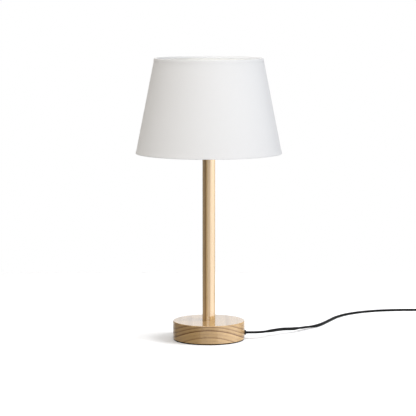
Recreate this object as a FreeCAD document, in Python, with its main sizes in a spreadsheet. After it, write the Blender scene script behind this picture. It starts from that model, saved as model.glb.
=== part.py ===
import FreeCAD, Part
import math
import os
import re
import Sketcher

# A table lamp: a turned ash disc for a base, a 22 mm ash dowel for a column and an empire shade.
# The frame stands on the floor: the origin is the middle of the base's underside, +Z is up and the
# cord leaves the base along +X. Lengths are in millimetres and angles in degrees.

SIZES = [
    # Base
    ("base_diameter", 123, "wood disc"),
    ("base_height", 31, "wood disc"),
    ("base_edge", 1.2, "rounding of the disc's upper edge"),
    ("foot_edge", 0.8, "rounding of the disc's lower edge"),
    ("rim_width", 11.5, "wood round the hollow"),
    ("recess_diameter", "=base_diameter - 2 * rim_width", "hollow under the disc"),
    ("recess_depth", 21, "hollow under the disc"),
    ("pad_inset", 2, "felt pad's edge inside the disc's"),
    ("pad_diameter", "=base_diameter - 2 * pad_inset", "felt pad under the disc"),
    ("pad_thickness", 1.5, "felt pad under the disc"),
    ("ballast_inset", 2, "plate's edge inside the hollow's"),
    ("ballast_diameter", "=recess_diameter - 2 * ballast_inset", "iron plate in the hollow"),
    ("ballast_bore", 48, "opening in the plate's middle"),
    ("ballast_thickness", 10, "iron plate"),
    ("ballast_slot", 31, "way through the plate for the cord and its clamp"),
    ("ballast_screw_circle", "=(ballast_diameter + ballast_bore) / 2", "pitch circle of the plate's screws"),
    ("ballast_head", 7, "screw head, across"),
    ("ballast_head_height", 2.2, "screw head"),
    ("ballast_head_edge", 0.8, "rounding of the screw head"),
    ("ballast_shank", 3.5, "screw shank, across"),
    ("screw_clearance", 0.3, "hole wider than a shank, each side"),
    ("pilot_clearance", 0.02, "pilot hole wider than a shank, each side"),
    ("screw_bite", 6, "length of a screw in the wood"),
    # Column and threaded tube
    ("column_diameter", 22, "dowel"),
    ("column_length", 300, "dowel, from the base's top to its own top"),
    ("column_edge", 0.8, "rounding of the dowel's top edge"),
    ("spigot_diameter", 16, "turned end of the dowel, in the base"),
    ("spigot_length", 6, "turned end of the dowel"),
    ("spigot_clearance", 0.1, "glue gap round and under the spigot"),
    ("rod_diameter", 10, "threaded tube, over the thread"),
    ("rod_wall", 1.2, "threaded tube"),
    ("rod_bore", "=rod_diameter - 2 * rod_wall", "threaded tube, inside"),
    ("rod_clearance", 0.3, "bore of the wood wider than the tube, each side"),
    ("thread_clearance", 0.05, "nut or cap wider than the tube, each side"),
    ("rod_tail", 1, "tube below its nut"),
    ("rod_reach", 9, "tube above the column, in the lampholder"),
    ("rod_chamfer", 0.5, "both ends of the tube"),
    ("washer_diameter", 30, "washer under the hollow's ceiling"),
    ("washer_thickness", 2, "washer"),
    ("nut_flats", 14, "hexagon nut, across flats"),
    ("nut_thickness", 3, "hexagon nut"),
    # Cord inside the base
    ("exit_height", 11.3, "cord's centre above the floor where it leaves the base"),
    ("cord_width", 5.4, "flat two-core cord, broad way"),
    ("cord_thickness", 3.4, "flat two-core cord, narrow way"),
    ("cord_bend", 8, "bend of the cord's centre from the base up into the tube"),
    ("core_diameter", 2.2, "one insulated core"),
    ("core_bend", 2.4, "bend of a core in the lampholder"),
    ("jacket_reach", 2, "cord's jacket above the threaded tube"),
    ("bushing_wall", 0.8, "bushing round the cord's broad way"),
    ("bushing_diameter", "=cord_width + 2 * bushing_wall", "bushing in the disc's wall"),
    ("bushing_lip", 0.7, "collar beyond the hole, each side"),
    ("bushing_flange", "=bushing_diameter + 2 * bushing_lip", "collar outside the disc, across"),
    ("bushing_collar", 2.5, "collar outside the disc, thick"),
    ("bushing_edge", 0.6, "rounding of the collar"),
    ("bushing_clearance", 0.1, "hole wider than the bushing, each side"),
    ("slot_clearance", 0.1, "bushing's slot wider than the cord, each side"),
    ("clamp_place", 33, "cord clamp, from the lamp's axis"),
    ("clamp_width", 10, "cord clamp, along the cord"),
    ("clamp_length", 27, "cord clamp, across the cord"),
    ("clamp_bar", 4, "cord clamp's lower bar, thick"),
    ("clamp_screws", 18, "cord clamp's screws, apart"),
    ("clamp_shank", 3, "cord clamp's screws, across"),
    ("clamp_head", 5.5, "cord clamp's screw heads, across"),
    ("clamp_head_height", 2, "cord clamp's screw heads"),
    ("clamp_head_edge", 0.6, "rounding of the cord clamp's screw heads"),
    # Lampholder, heights above the column's top
    ("cap_neck", 16, "lampholder cap's neck, across"),
    ("cap_neck_height", 7, "lampholder cap's neck"),
    ("cap_diameter", 38, "lampholder cap's rim, across"),
    ("cap_height", 23.5, "lampholder cap"),
    ("cap_wall", 2, "lampholder cap"),
    ("cap_floor", 10, "solid height of the cap round the tube"),
    ("cap_corner", 4, "rounding of the cap's shoulder"),
    ("seat_height", 28.5, "shoulder that the shade rests on"),
    ("collar_gap", 0.1, "between the cap's rim and the skirt's collar"),
    ("skirt_diameter", 39.4, "skirt above the collar, across"),
    ("collar_step", 3.3, "skirt's collar beyond the skirt, each side"),
    ("collar_diameter", "=skirt_diameter + 2 * collar_step", "skirt's collar, across"),
    ("skirt_height", 60, "skirt's open rim above the column"),
    ("skirt_root", 17, "skirt's lower end above the column"),
    ("skirt_bore", 31.2, "skirt, inside"),
    ("skirt_lip", 3, "inward lip at the skirt's rim, tall"),
    ("skirt_mouth", 28.8, "opening in the lip, across"),
    ("insert_clearance", 0.2, "between the skirt's bore and the insert"),
    ("insert_thickness", 8, "insert that carries the contacts"),
    ("insert_lift", 18, "insert's underside above the column"),
    ("shell_bore", 26.7, "threaded shell for the bulb, inside"),
    ("shell_wall", 0.4, "threaded shell"),
    ("shell_height", 29, "threaded shell"),
    ("shell_hole", 18, "opening in the shell's floor"),
    ("contact_width", 5, "centre contact's tongue"),
    ("contact_metal", 0.5, "centre contact's sheet"),
    ("contact_rise", 4.4, "tongue's free end above the insert"),
    ("contact_foot", 7.5, "tongue's foot, from the axis"),
    ("contact_fold", 3, "tongue's two bends, from the axis"),
    ("contact_reach", 4, "tongue's free end, from the axis"),
    ("terminal_spread", 15, "terminal blocks under the insert, apart"),
    ("terminal_block", 6, "terminal block, each side"),
    ("terminal_screw", 2.5, "terminal screw, across"),
    ("terminal_screw_head", 4, "terminal screw's head, across"),
    ("terminal_screw_head_height", 1.2, "terminal screw's head"),
    ("terminal_screw_bite", 2.5, "terminal screw in its block"),
    ("grub_diameter", 3, "locking screw in the cap's neck"),
    ("grub_chamfer", 0.4, "locking screw's inner end"),
    ("grub_socket", 1.5, "locking screw's socket, across"),
    ("grub_socket_depth", 1.2, "locking screw's socket"),
    # Shade
    ("shade_bottom", 250, "shade's lower rim, across"),
    ("shade_top", 186, "shade's upper rim, across"),
    ("shade_height", 162, "shade, rim to rim"),
    ("shade_drop", 40, "shade's lower rim below its hub"),
    ("cover_thickness", 0.6, "fabric cover"),
    ("liner_thickness", 0.5, "stiff lining"),
    ("trim_thickness", 0.4, "fabric strip turned round each rim"),
    ("trim_height", 5, "strip outside the rim"),
    ("trim_return", 3.2, "strip inside the rim"),
    ("glue_gap", 0.05, "between glued or welded pieces"),
    ("ring_wire", 3, "wire rings in the rims"),
    ("arm_wire", 3.5, "arms of the carrier"),
    ("arm_bend", 9, "bends of an arm's centre"),
    ("arm_flat", 7, "level ends of an arm"),
    ("arm_clearance", 1.5, "between an arm and the skirt's collar"),
    ("arm_end_gap", 0.3, "between an arm's end and the lining"),
    ("hub_clearance", 1.4, "carrier hub round the skirt, each side"),
    ("hub_bore", "=skirt_diameter + 2 * hub_clearance", "carrier hub, inside"),
    ("hub_width", 7.4, "carrier hub, from its inside to its outside"),
    ("hub_diameter", "=hub_bore + 2 * hub_width", "carrier hub, outside"),
    ("hub_thickness", 1.2, "carrier hub"),
    ("hub_gap", 0.1, "hub to shoulder and to clamp ring"),
    ("clamp_ring_width", 7.3, "ring that screws down on the hub, beyond the skirt"),
    ("clamp_ring_diameter", "=skirt_diameter + 2 * clamp_ring_width", "that ring, across"),
    ("clamp_ring_height", 9, "ring that screws down on the hub"),
    ("clamp_ring_clearance", 0.06, "ring wider than the skirt, each side"),
    ("clamp_ring_edge", 1, "rounding of the ring's upper edge"),
    ("grip_depth", 1.2, "grip grooves round the ring"),
    ("grip_width", 3, "grip grooves round the ring"),
    # Bulb, heights above its lowest point
    ("bulb_gap", 0.1, "bulb's tip above the centre contact"),
    ("bulb_length", 105, "bulb"),
    ("bulb_diameter", 60, "bulb's globe"),
    ("bulb_tip_diameter", 9.4, "contact at the bulb's tip"),
    ("bulb_tip_height", 1.6, "contact at the bulb's tip"),
    ("bulb_tip_edge", 0.6, "rounding of the contact at the bulb's tip"),
    ("insulator_margin", 0.5, "insulator's lower edge beyond the tip"),
    ("insulator_inset", 1, "insulator's upper edge inside the cap"),
    ("bulb_cap_diameter", 26.2, "bulb's screw cap over its crests"),
    ("bulb_cap_crest", 0.9, "depth of the cap's thread"),
    ("bulb_cap_foot", 5.6, "cap's lower edge"),
    ("bulb_cap_land", 1, "plain band under the cap's lowest crest"),
    ("bulb_cap_rim", 27, "cap's upper edge"),
    ("bulb_cap_wall", 0.5, "cap's sheet below the thread"),
    ("bulb_thread", 3.63, "rise of the cap's thread in a turn"),
    ("bulb_neck", 6, "straight part of the housing above the cap"),
    ("bulb_spigot", 4, "housing's lower end in the cap"),
    ("globe_seat", 15, "globe's open rim below its middle"),
    ("housing_rim", "=bulb_length - bulb_diameter / 2 - globe_seat", "top of the white housing"),
    ("housing_wall", 1.6, "white housing"),
    ("globe_wall", 1.2, "milky globe"),
    ("led_board_gap", 0.4, "between the light sources' board and the housing"),
    ("led_board_thickness", 1.6, "board that carries the light sources"),
    ("led_board_drop", 2, "board's underside below the housing's rim"),
    ("led_size", 3, "one light source, square"),
    ("led_height", 0.8, "one light source"),
    ("led_circle", 32, "circle of the light sources"),
    ("driver_width", 18, "driver board, upright under the other"),
    ("driver_thickness", 1.6, "driver board"),
    # Switch on the cord
    ("switch_across", 457, "switch's axis, along X"),
    ("switch_near", 166, "switch's near end, along Y"),
    ("switch_length", 62, "switch"),
    ("switch_width", 26, "switch"),
    ("switch_base_height", 8.5, "lower shell, and the cord's height in it"),
    ("switch_top_height", 10, "upper shell"),
    ("switch_wall", 1.8, "both shells, floor, roof and long sides"),
    ("switch_end", 6, "both shells, solid ends"),
    ("switch_round", 3.5, "rounding of the shells' upright edges"),
    ("switch_edge", 2, "rounding of the upper shell's upper edge"),
    ("shell_gap", 0.05, "between the two shells"),
    ("cord_entry", 3, "cord's end in the switch"),
    ("rocker_width", 10, "rocker"),
    ("rocker_reach", 9, "rocker's ends, from its pivot line"),
    ("rocker_gap", 0.5, "window wider than the rocker, each side"),
    ("rocker_depth", 2.3, "rocker's underside below its pivot line"),
    ("rocker_rise", 3.7, "rocker's ends above its pivot line"),
    ("rocker_dip", 2.2, "rocker's middle above its pivot line"),
    ("rocker_tilt", 8, "rocker's lean each way"),
    ("pivot_drop", 3, "pivot line below the upper shell's top"),
    ("pivot_diameter", 2.4, "rocker's pivots"),
    ("pivot_length", 1.4, "each pivot beyond the rocker's side"),
    ("pivot_clearance", 0.05, "bearing wider than a pivot, each side"),
    ("cheek_thickness", 1.6, "bearing cheeks beside the window"),
    ("cheek_length", 6, "bearing cheeks, along the switch"),
    ("cheek_depth", 2.6, "bearing cheeks below the pivot line"),
    ("strip_width", 3, "contact strip under the rocker"),
    ("strip_length", 8, "contact strip under the rocker"),
    ("strip_metal", 0.5, "contact strip under the rocker"),
    ("block_width", 6, "terminal blocks in the switch"),
    ("block_height", 8, "terminal blocks in the switch"),
    ("block_near", 12, "terminal blocks, from the switch's middle"),
    ("block_side", 0.1, "terminal blocks, from the switch's mid-plane"),
    ("switch_screw_side", 8.6, "screws that hold the shells, from the mid-plane"),
    ("switch_screws_apart", 46, "screws that hold the shells, along the switch"),
    ("switch_screw", 2.5, "screws that hold the shells, across"),
    ("switch_screw_head", 5, "their heads, across"),
    ("switch_screw_head_height", 1.6, "their heads"),
    ("switch_screw_sink", 2, "holes for their heads"),
    ("switch_screw_bite", 5, "their length in the upper shell"),
    ("boss_diameter", 5.6, "bosses for the switch's screws"),
    # Plug
    ("plug_across", 408, "plug's axis, along X"),
    ("plug_near", 193.2, "plug's cord end, along Y"),
    ("plug_width", 35.2, "plug's body"),
    ("plug_thickness", 14.2, "plug's body"),
    ("plug_length", 35, "plug's body"),
    ("plug_neck", 20, "plug's strain relief, long"),
    ("plug_neck_diameter", 9, "plug's strain relief at the body"),
    ("plug_mouth", 7, "plug's strain relief at the cord"),
    ("plug_taper", 7, "plug's shoulders, along it"),
    ("plug_round", 3, "rounding of the plug's long edges"),
    ("pin_spacing", 18.6, "plug's pins, apart"),
    ("pin_diameter", 4, "plug's pins"),
    ("pin_core", 3, "plug's pins under their sleeves, across"),
    ("pin_root", 8, "plug's pins in the body"),
    ("pin_length", 19, "plug's pins"),
    ("pin_end", 1.2, "rounding of the pins' ends"),
    ("sleeve_diameter", 3.6, "insulated part of a pin, across"),
    ("sleeve_length", 10, "insulated part of a pin"),
    # Free cord where it meets the switch, the coil and the plug
    ("far_lead", 21, "run of the cord into the switch's far end"),
    ("near_lead", 17, "run of the cord out of the switch's near end"),
    ("near_sink", 0.2, "fall of the cord in that run, and its height over the floor run after it"),
    ("link_reach", 35, "where the cord has come down to the coil, from the switch"),
    ("coil_lead", 21, "run of the cord out of the coil"),
    ("coil_sink", 0.4, "fall of the cord in that run"),
    ("plug_lead", 21, "run of the cord into the plug"),
    ("plug_sink", 0.3, "fall of the cord in that run"),
    # Coil of the spare cord and its tie
    ("coil_entry", 457, "where the cord enters the coil, along X"),
    ("coil_middle", 112, "coil's centre, along Y"),
    ("coil_reach", 40, "coil's first point from its centre"),
    ("coil_slack", 1.5, "between the middles of two turns, over the cord's width"),
    ("coil_pitch", "=cord_width + coil_slack", "turn beside turn, and layer on layer"),
    ("tie_thickness", 0.8, "tie round the coil"),
    ("tie_width", 8, "tie round the coil"),
    ("tie_clearance", 0.3, "between the tie and the coil"),
    ("tie_sag", 0.9, "inner turn's curve across the tie"),
]
NAMES = {name for name, value, note in SIZES}

doc = FreeCAD.newDocument("ColumnTableLamp")
sheet = doc.addObject("Spreadsheet::Sheet", "Sizes")
for row, (name, value, note) in enumerate(SIZES, 1):
    sheet.set(f"A{row}", note)
    sheet.set(f"B{row}", str(value))
    sheet.setAlias(f"B{row}", name)
doc.recompute()

NODES = []


def fx(words):
    """An expression in the names of sizes, as the sheet's own cells."""
    return re.sub(r"[a-z]\w+", lambda m: "Sizes." + m.group() if m.group() in NAMES else m.group(), words)


def mm(words):
    """The number that an expression in the names of sizes gives now."""
    return float(sheet.evalExpression(fx(words)))


def set_place(piece, x="0", y="0", z="0"):
    """Put a piece where three expressions say."""
    for axis, words in zip("xyz", (x, y, z)):
        piece.setExpression("Placement.Base." + axis, fx(words))


def start_body(label, x="0", y="0", z="0", axis=FreeCAD.Vector(0, 0, 1), angle=0):
    """A new body that is a node of the lamp, turned about an axis and placed."""
    body = doc.addObject("PartDesign::Body", label)
    body.Label = label
    body.Placement = FreeCAD.Placement(FreeCAD.Vector(0, 0, 0), FreeCAD.Rotation(axis, angle))
    set_place(body, x, y, z)
    NODES.append(body)
    return body


def start_sketch(body, role):
    """An empty sketch on one of the body's own origin planes."""
    sketch = body.newObject("Sketcher::SketchObject", body.Label + "_sketch")
    plane = next(f for f in body.Origin.OriginFeatures if f.Role == role)
    sketch.AttachmentSupport = [(plane, "")]
    sketch.MapMode = "FlatFace"
    return sketch


def size_constraint(sketch, kind, places, words):
    """A constraint whose value follows an expression."""
    number = sketch.addConstraint(Sketcher.Constraint(kind, *places, mm(words)))
    sketch.setExpression(f"Constraints[{number}]", fx(words))


def outline(sketch, points):
    """A closed outline through points, each (across, up), or (across, up, radius) where an arc arrives:
    the arc turns left, or right after a minus sign."""
    spots = [FreeCAD.Vector(mm(p[0]), mm(p[1]), 0) for p in points]
    first = sketch.GeometryCount
    ends = []
    for i, start in enumerate(spots):
        after = (i + 1) % len(spots)
        end = spots[after]
        if len(points[after]) == 2:
            sketch.addGeometry(Part.LineSegment(start, end))
            ends.append((1, 2))
            continue
        right = points[after][2].startswith("-")
        radius = mm(points[after][2].lstrip("-"))
        chord = end - start
        side = FreeCAD.Vector(-chord.y, chord.x, 0).normalize() * (-1 if right else 1)
        middle = (start + end) * 0.5
        centre = middle + side * math.sqrt(max(radius**2 - (chord.Length / 2) ** 2, 0))
        through = centre - side * radius
        arc = Part.Arc(end, through, start) if right else Part.Arc(start, through, end)
        sketch.addGeometry(arc)
        ends.append((2, 1) if right else (1, 2))
    for i, (start, end) in enumerate(ends):
        after = (i + 1) % len(ends)
        edge = first + i
        sketch.addConstraint(Sketcher.Constraint("Coincident", edge, end, first + after, ends[after][0]))
        for kind, line, words in (("DistanceX", -2, points[i][0]), ("DistanceY", -1, points[i][1])):
            if words == "0":
                sketch.addConstraint(Sketcher.Constraint("PointOnObject", edge, start, line))
            else:
                size_constraint(sketch, kind, (-1, 1, edge, start), words)
        if len(points[after]) == 3:
            size_constraint(sketch, "Radius", (edge,), points[after][2].lstrip("-"))


def ring(sketch, across, up, radius):
    """A circle in a sketch."""
    centre = FreeCAD.Vector(mm(across), mm(up), 0)
    edge = sketch.addGeometry(Part.Circle(centre, FreeCAD.Vector(0, 0, 1), mm(radius)))
    for kind, line, words in (("DistanceX", -2, across), ("DistanceY", -1, up)):
        if words == "0":
            sketch.addConstraint(Sketcher.Constraint("PointOnObject", edge, 3, line))
        else:
            size_constraint(sketch, kind, (-1, 1, edge, 3), words)
    size_constraint(sketch, "Radius", (edge,), radius)


def box_outline(sketch, length, width, across="0", up="0"):
    """A rectangle round a point of a sketch."""
    corners = []
    for a, b in ((-1, -1), (1, -1), (1, 1), (-1, 1)):
        corners.append((f"({across}) + ({a}) * ({length}) / 2", f"({up}) + ({b}) * ({width}) / 2"))
    outline(sketch, corners)


def round_box(sketch, length, width, radius):
    """A rectangle with rounded corners round the middle of a sketch."""
    points = []
    for a, b in ((1, -1), (1, 1), (-1, 1), (-1, -1)):
        beside = (f"({a}) * ({length} / 2 - {radius})", f"({b}) * {width} / 2")
        above = (f"({a}) * {length} / 2", f"({b}) * ({width} / 2 - {radius})")
        first, second = (beside, above) if a * b < 0 else (above, beside)
        points += [first, (*second, radius)]
    outline(sketch, points)


def lift_sketch(sketch, distance):
    """Move a sketch along the normal of its plane."""
    sketch.setExpression("AttachmentOffset.Base.z", fx(distance))


def revolve(body, points, offset="0"):
    """Turn an outline of (radius, height) points round the body's axis, or round a line beside it."""
    sketch = start_sketch(body, "XZ_Plane")
    if offset == "0":
        outline(sketch, points)
        turning_line = "V_Axis"
    else:
        outline(sketch, [(f"({offset}) + ({p[0]})", *p[1:]) for p in points])
        low, high = FreeCAD.Vector(mm(offset), 0, 0), FreeCAD.Vector(mm(offset), 1, 0)
        line = sketch.addGeometry(Part.LineSegment(low, high), True)
        sketch.addConstraint(Sketcher.Constraint("Vertical", line))
        size_constraint(sketch, "DistanceX", (-1, 1, line, 1), offset)
        turning_line = "Axis0"
    doc.recompute()
    turned = body.newObject("PartDesign::Revolution", body.Label + "_turned")
    turned.Profile = sketch
    turned.ReferenceAxis = (sketch, [turning_line])
    turned.Angle = 360
    body.Tip = turned
    return turned


def pad(body, sketch, length, symmetric=False):
    """Raise a sketch to a length."""
    raised = body.newObject("PartDesign::Pad", body.Label + "_pad")
    raised.Profile = sketch
    raised.setExpression("Length", fx(length))
    raised.SideType = "Symmetric" if symmetric else "One side"
    body.Tip = raised
    return raised


def pocket(body, sketch, length=None, upward=False, symmetric=False):
    """Cut a sketch to a depth, or right through, and make sure that it took something away."""
    doc.recompute()
    before = body.Shape.Volume
    hole = body.newObject("PartDesign::Pocket", body.Label + "_pocket")
    hole.Profile = sketch
    hole.Reversed = upward
    hole.SideType = "Symmetric" if symmetric else "One side"
    if length is None:
        hole.Type = "ThroughAll"
    else:
        hole.setExpression("Length", fx(length))
    body.Tip = hole
    doc.recompute()
    if not body.Shape.Volume < before:
        raise RuntimeError(f"{body.Label}: a pocket cut nothing")
    return hole


def soften(body, level, radius, along="Z"):
    """Round every edge of a body that lies at one level of one of its axes."""
    doc.recompute()
    whole = body.Tip
    edges = []
    for number, edge in enumerate(whole.Shape.Edges, 1):
        box = edge.BoundBox
        low, high = getattr(box, along + "Min"), getattr(box, along + "Max")
        if abs(low - mm(level)) < 0.001 and abs(high - mm(level)) < 0.001:
            edges.append(f"Edge{number}")
    rounding = body.newObject("PartDesign::Fillet", body.Label + "_rounding")
    rounding.Base = (whole, edges)
    rounding.setExpression("Radius", fx(radius))
    body.Tip = rounding
    return rounding


def repeat(body, feature, count):
    """Repeat a feature evenly round the body's axis."""
    pattern = body.newObject("PartDesign::PolarPattern", body.Label + "_pattern")
    pattern.Originals = [feature]
    pattern.Axis = (next(f for f in body.Origin.OriginFeatures if f.Role == "Z_Axis"), [""])
    pattern.Angle = 360
    pattern.Occurrences = count
    body.Tip = pattern
    return pattern


def mirror(body, feature, role):
    """Repeat a feature on the far side of one of the body's planes."""
    mirrored = body.newObject("PartDesign::Mirrored", body.Label + "_mirrored")
    mirrored.Originals = [feature]
    mirrored.MirrorPlane = (next(f for f in body.Origin.OriginFeatures if f.Role == role), [""])
    body.Tip = mirrored
    return mirrored


def primitive(kind, name, x="0", y="0", z="0", **sizes):
    """A block, cylinder or ring whose sizes follow expressions."""
    piece = doc.addObject("Part::" + kind, name)
    for size, words in sizes.items():
        piece.setExpression(size, fx(words))
    set_place(piece, x, y, z)
    return piece


def cut_away(label, whole, tool):
    """What is left of one piece when another is taken out of it; it is a node of the lamp."""
    left = doc.addObject("Part::Cut", label)
    left.Label = label
    left.Base = whole
    left.Tool = tool
    NODES.append(left)
    return left


def add_shape(label, shape):
    """A node whose shape is made edge by edge."""
    piece = doc.addObject("Part::Feature", label)
    piece.Label = label
    piece.Shape = shape
    piece.Placement = FreeCAD.Placement()
    NODES.append(piece)
    return piece


def rounded_route(label, points, radius=None):
    """Straight runs joined by arcs that touch them; each arc as large as its runs allow, or a given one."""
    spots = [FreeCAD.Vector(*p) for p in points]
    edges, radii = [], []
    last = spots[0]
    for before, corner, after in zip(spots, spots[1:], spots[2:]):
        inward, outward = (before - corner), (after - corner)
        half_turn = (math.pi - inward.getAngle(outward)) / 2
        bend = radius or 0.45 * min(inward.Length, outward.Length) / math.tan(half_turn)
        radii.append(bend)
        reach = bend * math.tan(half_turn)
        inward.normalize()
        outward.normalize()
        start, end = corner + inward * reach, corner + outward * reach
        bisector = (inward + outward).normalize()
        through = corner + bisector * (bend / math.cos(half_turn) - bend)
        edges.append(Part.LineSegment(last, start).toShape())
        edges.append(Part.Arc(start, through, end).toShape())
        last = end
    edges.append(Part.LineSegment(last, spots[-1]).toShape())
    if radius is None:
        print(label, "radii", [round(r, 1) for r in radii])
    return Part.Wire(edges)


def sweep_round(path, diameter):
    """A round tube along a path, checked against its section times its length."""
    start = path.Edges[0]
    begin = start.FirstParameter
    section = Part.Circle(start.valueAt(begin), start.tangentAt(begin), diameter / 2)
    tube = path.makePipeShell([Part.Wire([section.toShape()])], True, False)
    expected = math.pi * diameter**2 / 4 * path.Length
    if abs(tube.Volume / expected - 1) > 0.01:
        raise RuntimeError(f"a tube has {tube.Volume:.1f} cubic mm and should have {expected:.1f}")
    return tube


# Levels above the floor, from the pad up
ceiling = "(pad_thickness + recess_depth)"
base_top = "(pad_thickness + base_height)"
column_top = f"({base_top} + column_length)"
shoulder = f"({column_top} + seat_height)"
hub_level = f"({shoulder} + hub_gap)"
shade_foot = f"({hub_level} - shade_drop)"
contact_top = f"({column_top} + insert_lift + insert_thickness + contact_rise)"
bulb_foot = f"({contact_top} + bulb_gap)"


# Felt pad, glued under the disc; it closes the hollow
body = start_body("base_pad")
pad_edge = "pad_diameter / 2"
revolve(body, [("0", "0"), (pad_edge, "0"), (pad_edge, "pad_thickness"), ("0", "pad_thickness")])

# Base disc, turned from ash, with its hollow, the socket for the column and the bore for the tube
rod_hole = "rod_diameter / 2 + rod_clearance"
socket = "spigot_diameter / 2 + spigot_clearance"
socket_floor = "base_height - spigot_length - spigot_clearance"
body = start_body("base_disc", z="pad_thickness")
revolve(
    body,
    [
        ("recess_diameter / 2", "0"),
        ("base_diameter / 2 - foot_edge", "0"),
        ("base_diameter / 2", "foot_edge", "foot_edge"),
        ("base_diameter / 2", "base_height - base_edge"),
        ("base_diameter / 2 - base_edge", "base_height", "base_edge"),
        (socket, "base_height"),
        (socket, socket_floor),
        (rod_hole, socket_floor),
        (rod_hole, "recess_depth"),
        ("recess_diameter / 2", "recess_depth"),
    ],
)
sketch = start_sketch(body, "YZ_Plane")
ring(sketch, "0", "exit_height - pad_thickness", "bushing_diameter / 2 + bushing_clearance")
pocket(body, sketch, upward=True)
sketch = start_sketch(body, "XY_Plane")
for side in ("1", "-1"):
    ring(sketch, "clamp_place", f"{side} * clamp_screws / 2", "clamp_shank / 2 + pilot_clearance")
pocket(body, sketch, "recess_depth + screw_bite", upward=True)
sketch = start_sketch(body, "XY_Plane")
ballast_screw_count = 3
ballast_screw_azimuth = 60
ballast_hole_x = f"ballast_screw_circle / 2 * cos({ballast_screw_azimuth})"
ballast_hole_y = f"ballast_screw_circle / 2 * sin({ballast_screw_azimuth})"
ring(sketch, ballast_hole_x, ballast_hole_y, "ballast_shank / 2 + pilot_clearance")
repeat(body, pocket(body, sketch, "recess_depth + screw_bite", upward=True), ballast_screw_count)

# Ballast, a cast iron plate screwed to the hollow's ceiling, slotted for the cord
body = start_body("base_ballast", z=f"{ceiling} - ballast_thickness")
revolve(
    body,
    [
        ("ballast_bore / 2", "0"),
        ("ballast_diameter / 2", "0"),
        ("ballast_diameter / 2", "ballast_thickness"),
        ("ballast_bore / 2", "ballast_thickness"),
    ],
)
sketch = start_sketch(body, "XY_Plane")
box_outline(sketch, "ballast_diameter", "ballast_slot", across="ballast_diameter / 2")
pocket(body, sketch, symmetric=True)
sketch = start_sketch(body, "XY_Plane")
ring(sketch, ballast_hole_x, ballast_hole_y, "ballast_shank / 2 + screw_clearance")
repeat(body, pocket(body, sketch, symmetric=True), ballast_screw_count)

# Ballast screws, three pan heads from below
ballast_screw_foot = f"{ceiling} - ballast_thickness - ballast_head_height"
body = start_body("ballast_screws", z=ballast_screw_foot, angle=ballast_screw_azimuth)
screw = revolve(
    body,
    [
        ("0", "0"),
        ("ballast_head / 2 - ballast_head_edge", "0"),
        ("ballast_head / 2", "ballast_head_edge", "ballast_head_edge"),
        ("ballast_head / 2", "ballast_head_height"),
        ("ballast_shank / 2", "ballast_head_height"),
        ("ballast_shank / 2", "ballast_head_height + ballast_thickness + screw_bite"),
        ("0", "ballast_head_height + ballast_thickness + screw_bite"),
    ],
    offset="ballast_screw_circle / 2",
)
repeat(body, screw, ballast_screw_count)

# Washer and nut that pull the threaded tube down, and so clamp the column to the base
body = start_body("rod_washer", z=f"{ceiling} - washer_thickness")
revolve(
    body,
    [
        (rod_hole, "0"),
        ("washer_diameter / 2", "0"),
        ("washer_diameter / 2", "washer_thickness"),
        (rod_hole, "washer_thickness"),
    ],
)
nut_level = f"{ceiling} - washer_thickness - nut_thickness"
hexagon = primitive(
    "Prism", "nut_hexagon", z=nut_level, Circumradius="nut_flats / sqrt(3)", Height="nut_thickness"
)
hexagon.Polygon = 6
bore = primitive(
    "Cylinder", "nut_bore", z=nut_level, Radius="rod_diameter / 2 + thread_clearance", Height="nut_thickness"
)
cut_away("rod_nut", hexagon, bore)

# Threaded tube, from under its nut, through base and column, into the lampholder
rod_foot = f"({nut_level} - rod_tail)"
rod_length = f"({column_top} + rod_reach - {rod_foot})"
body = start_body("threaded_tube", z=rod_foot)
revolve(
    body,
    [
        ("rod_bore / 2", "0"),
        ("rod_diameter / 2 - rod_chamfer", "0"),
        ("rod_diameter / 2", "rod_chamfer"),
        ("rod_diameter / 2", f"{rod_length} - rod_chamfer"),
        ("rod_diameter / 2 - rod_chamfer", rod_length),
        ("rod_bore / 2", rod_length),
    ],
)

# Column, an ash dowel bored for the tube, with a spigot turned on its foot
body = start_body("column", z=f"{base_top} - spigot_length")
column_rise = "(spigot_length + column_length)"
revolve(
    body,
    [
        (rod_hole, "0"),
        ("spigot_diameter / 2", "0"),
        ("spigot_diameter / 2", "spigot_length"),
        ("column_diameter / 2", "spigot_length"),
        ("column_diameter / 2", f"{column_rise} - column_edge"),
        ("column_diameter / 2 - column_edge", column_rise, "column_edge"),
        (rod_hole, column_rise),
    ],
)


def flat_cord_outline(sketch, grow="0"):
    """The cord's section, broad way up the sketch: two straight sides and two half rounds of two arcs."""
    half_thick = f"(cord_thickness / 2 + {grow})"
    half_wide = f"(cord_width / 2 + {grow})"
    straight = "(cord_width / 2 - cord_thickness / 2)"
    outline(
        sketch,
        [
            (half_thick, f"-{straight}", half_thick),
            (half_thick, straight),
            ("0", half_wide, half_thick),
            (f"-{half_thick}", straight, half_thick),
            (f"-{half_thick}", f"-{straight}"),
            ("0", f"-{half_wide}", half_thick),
        ],
    )


# Bushing, a black grommet through the disc's wall with a slot for the flat cord
body = start_body(
    "cord_bushing",
    x="recess_diameter / 2",
    z="exit_height",
    axis=FreeCAD.Vector(0, 1, 0),
    angle=90,
)
wall = "(base_diameter / 2 - recess_diameter / 2 + glue_gap)"
revolve(
    body,
    [
        ("0", "0"),
        ("bushing_diameter / 2", "0"),
        ("bushing_diameter / 2", wall),
        ("bushing_flange / 2", wall),
        ("bushing_flange / 2", f"{wall} + bushing_collar - bushing_edge"),
        ("bushing_flange / 2 - bushing_edge", f"{wall} + bushing_collar", "bushing_edge"),
        ("0", f"{wall} + bushing_collar"),
    ],
)
sketch = start_sketch(body, "XY_Plane")
flat_cord_outline(sketch, grow="slot_clearance")
pocket(body, sketch, symmetric=True)

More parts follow.
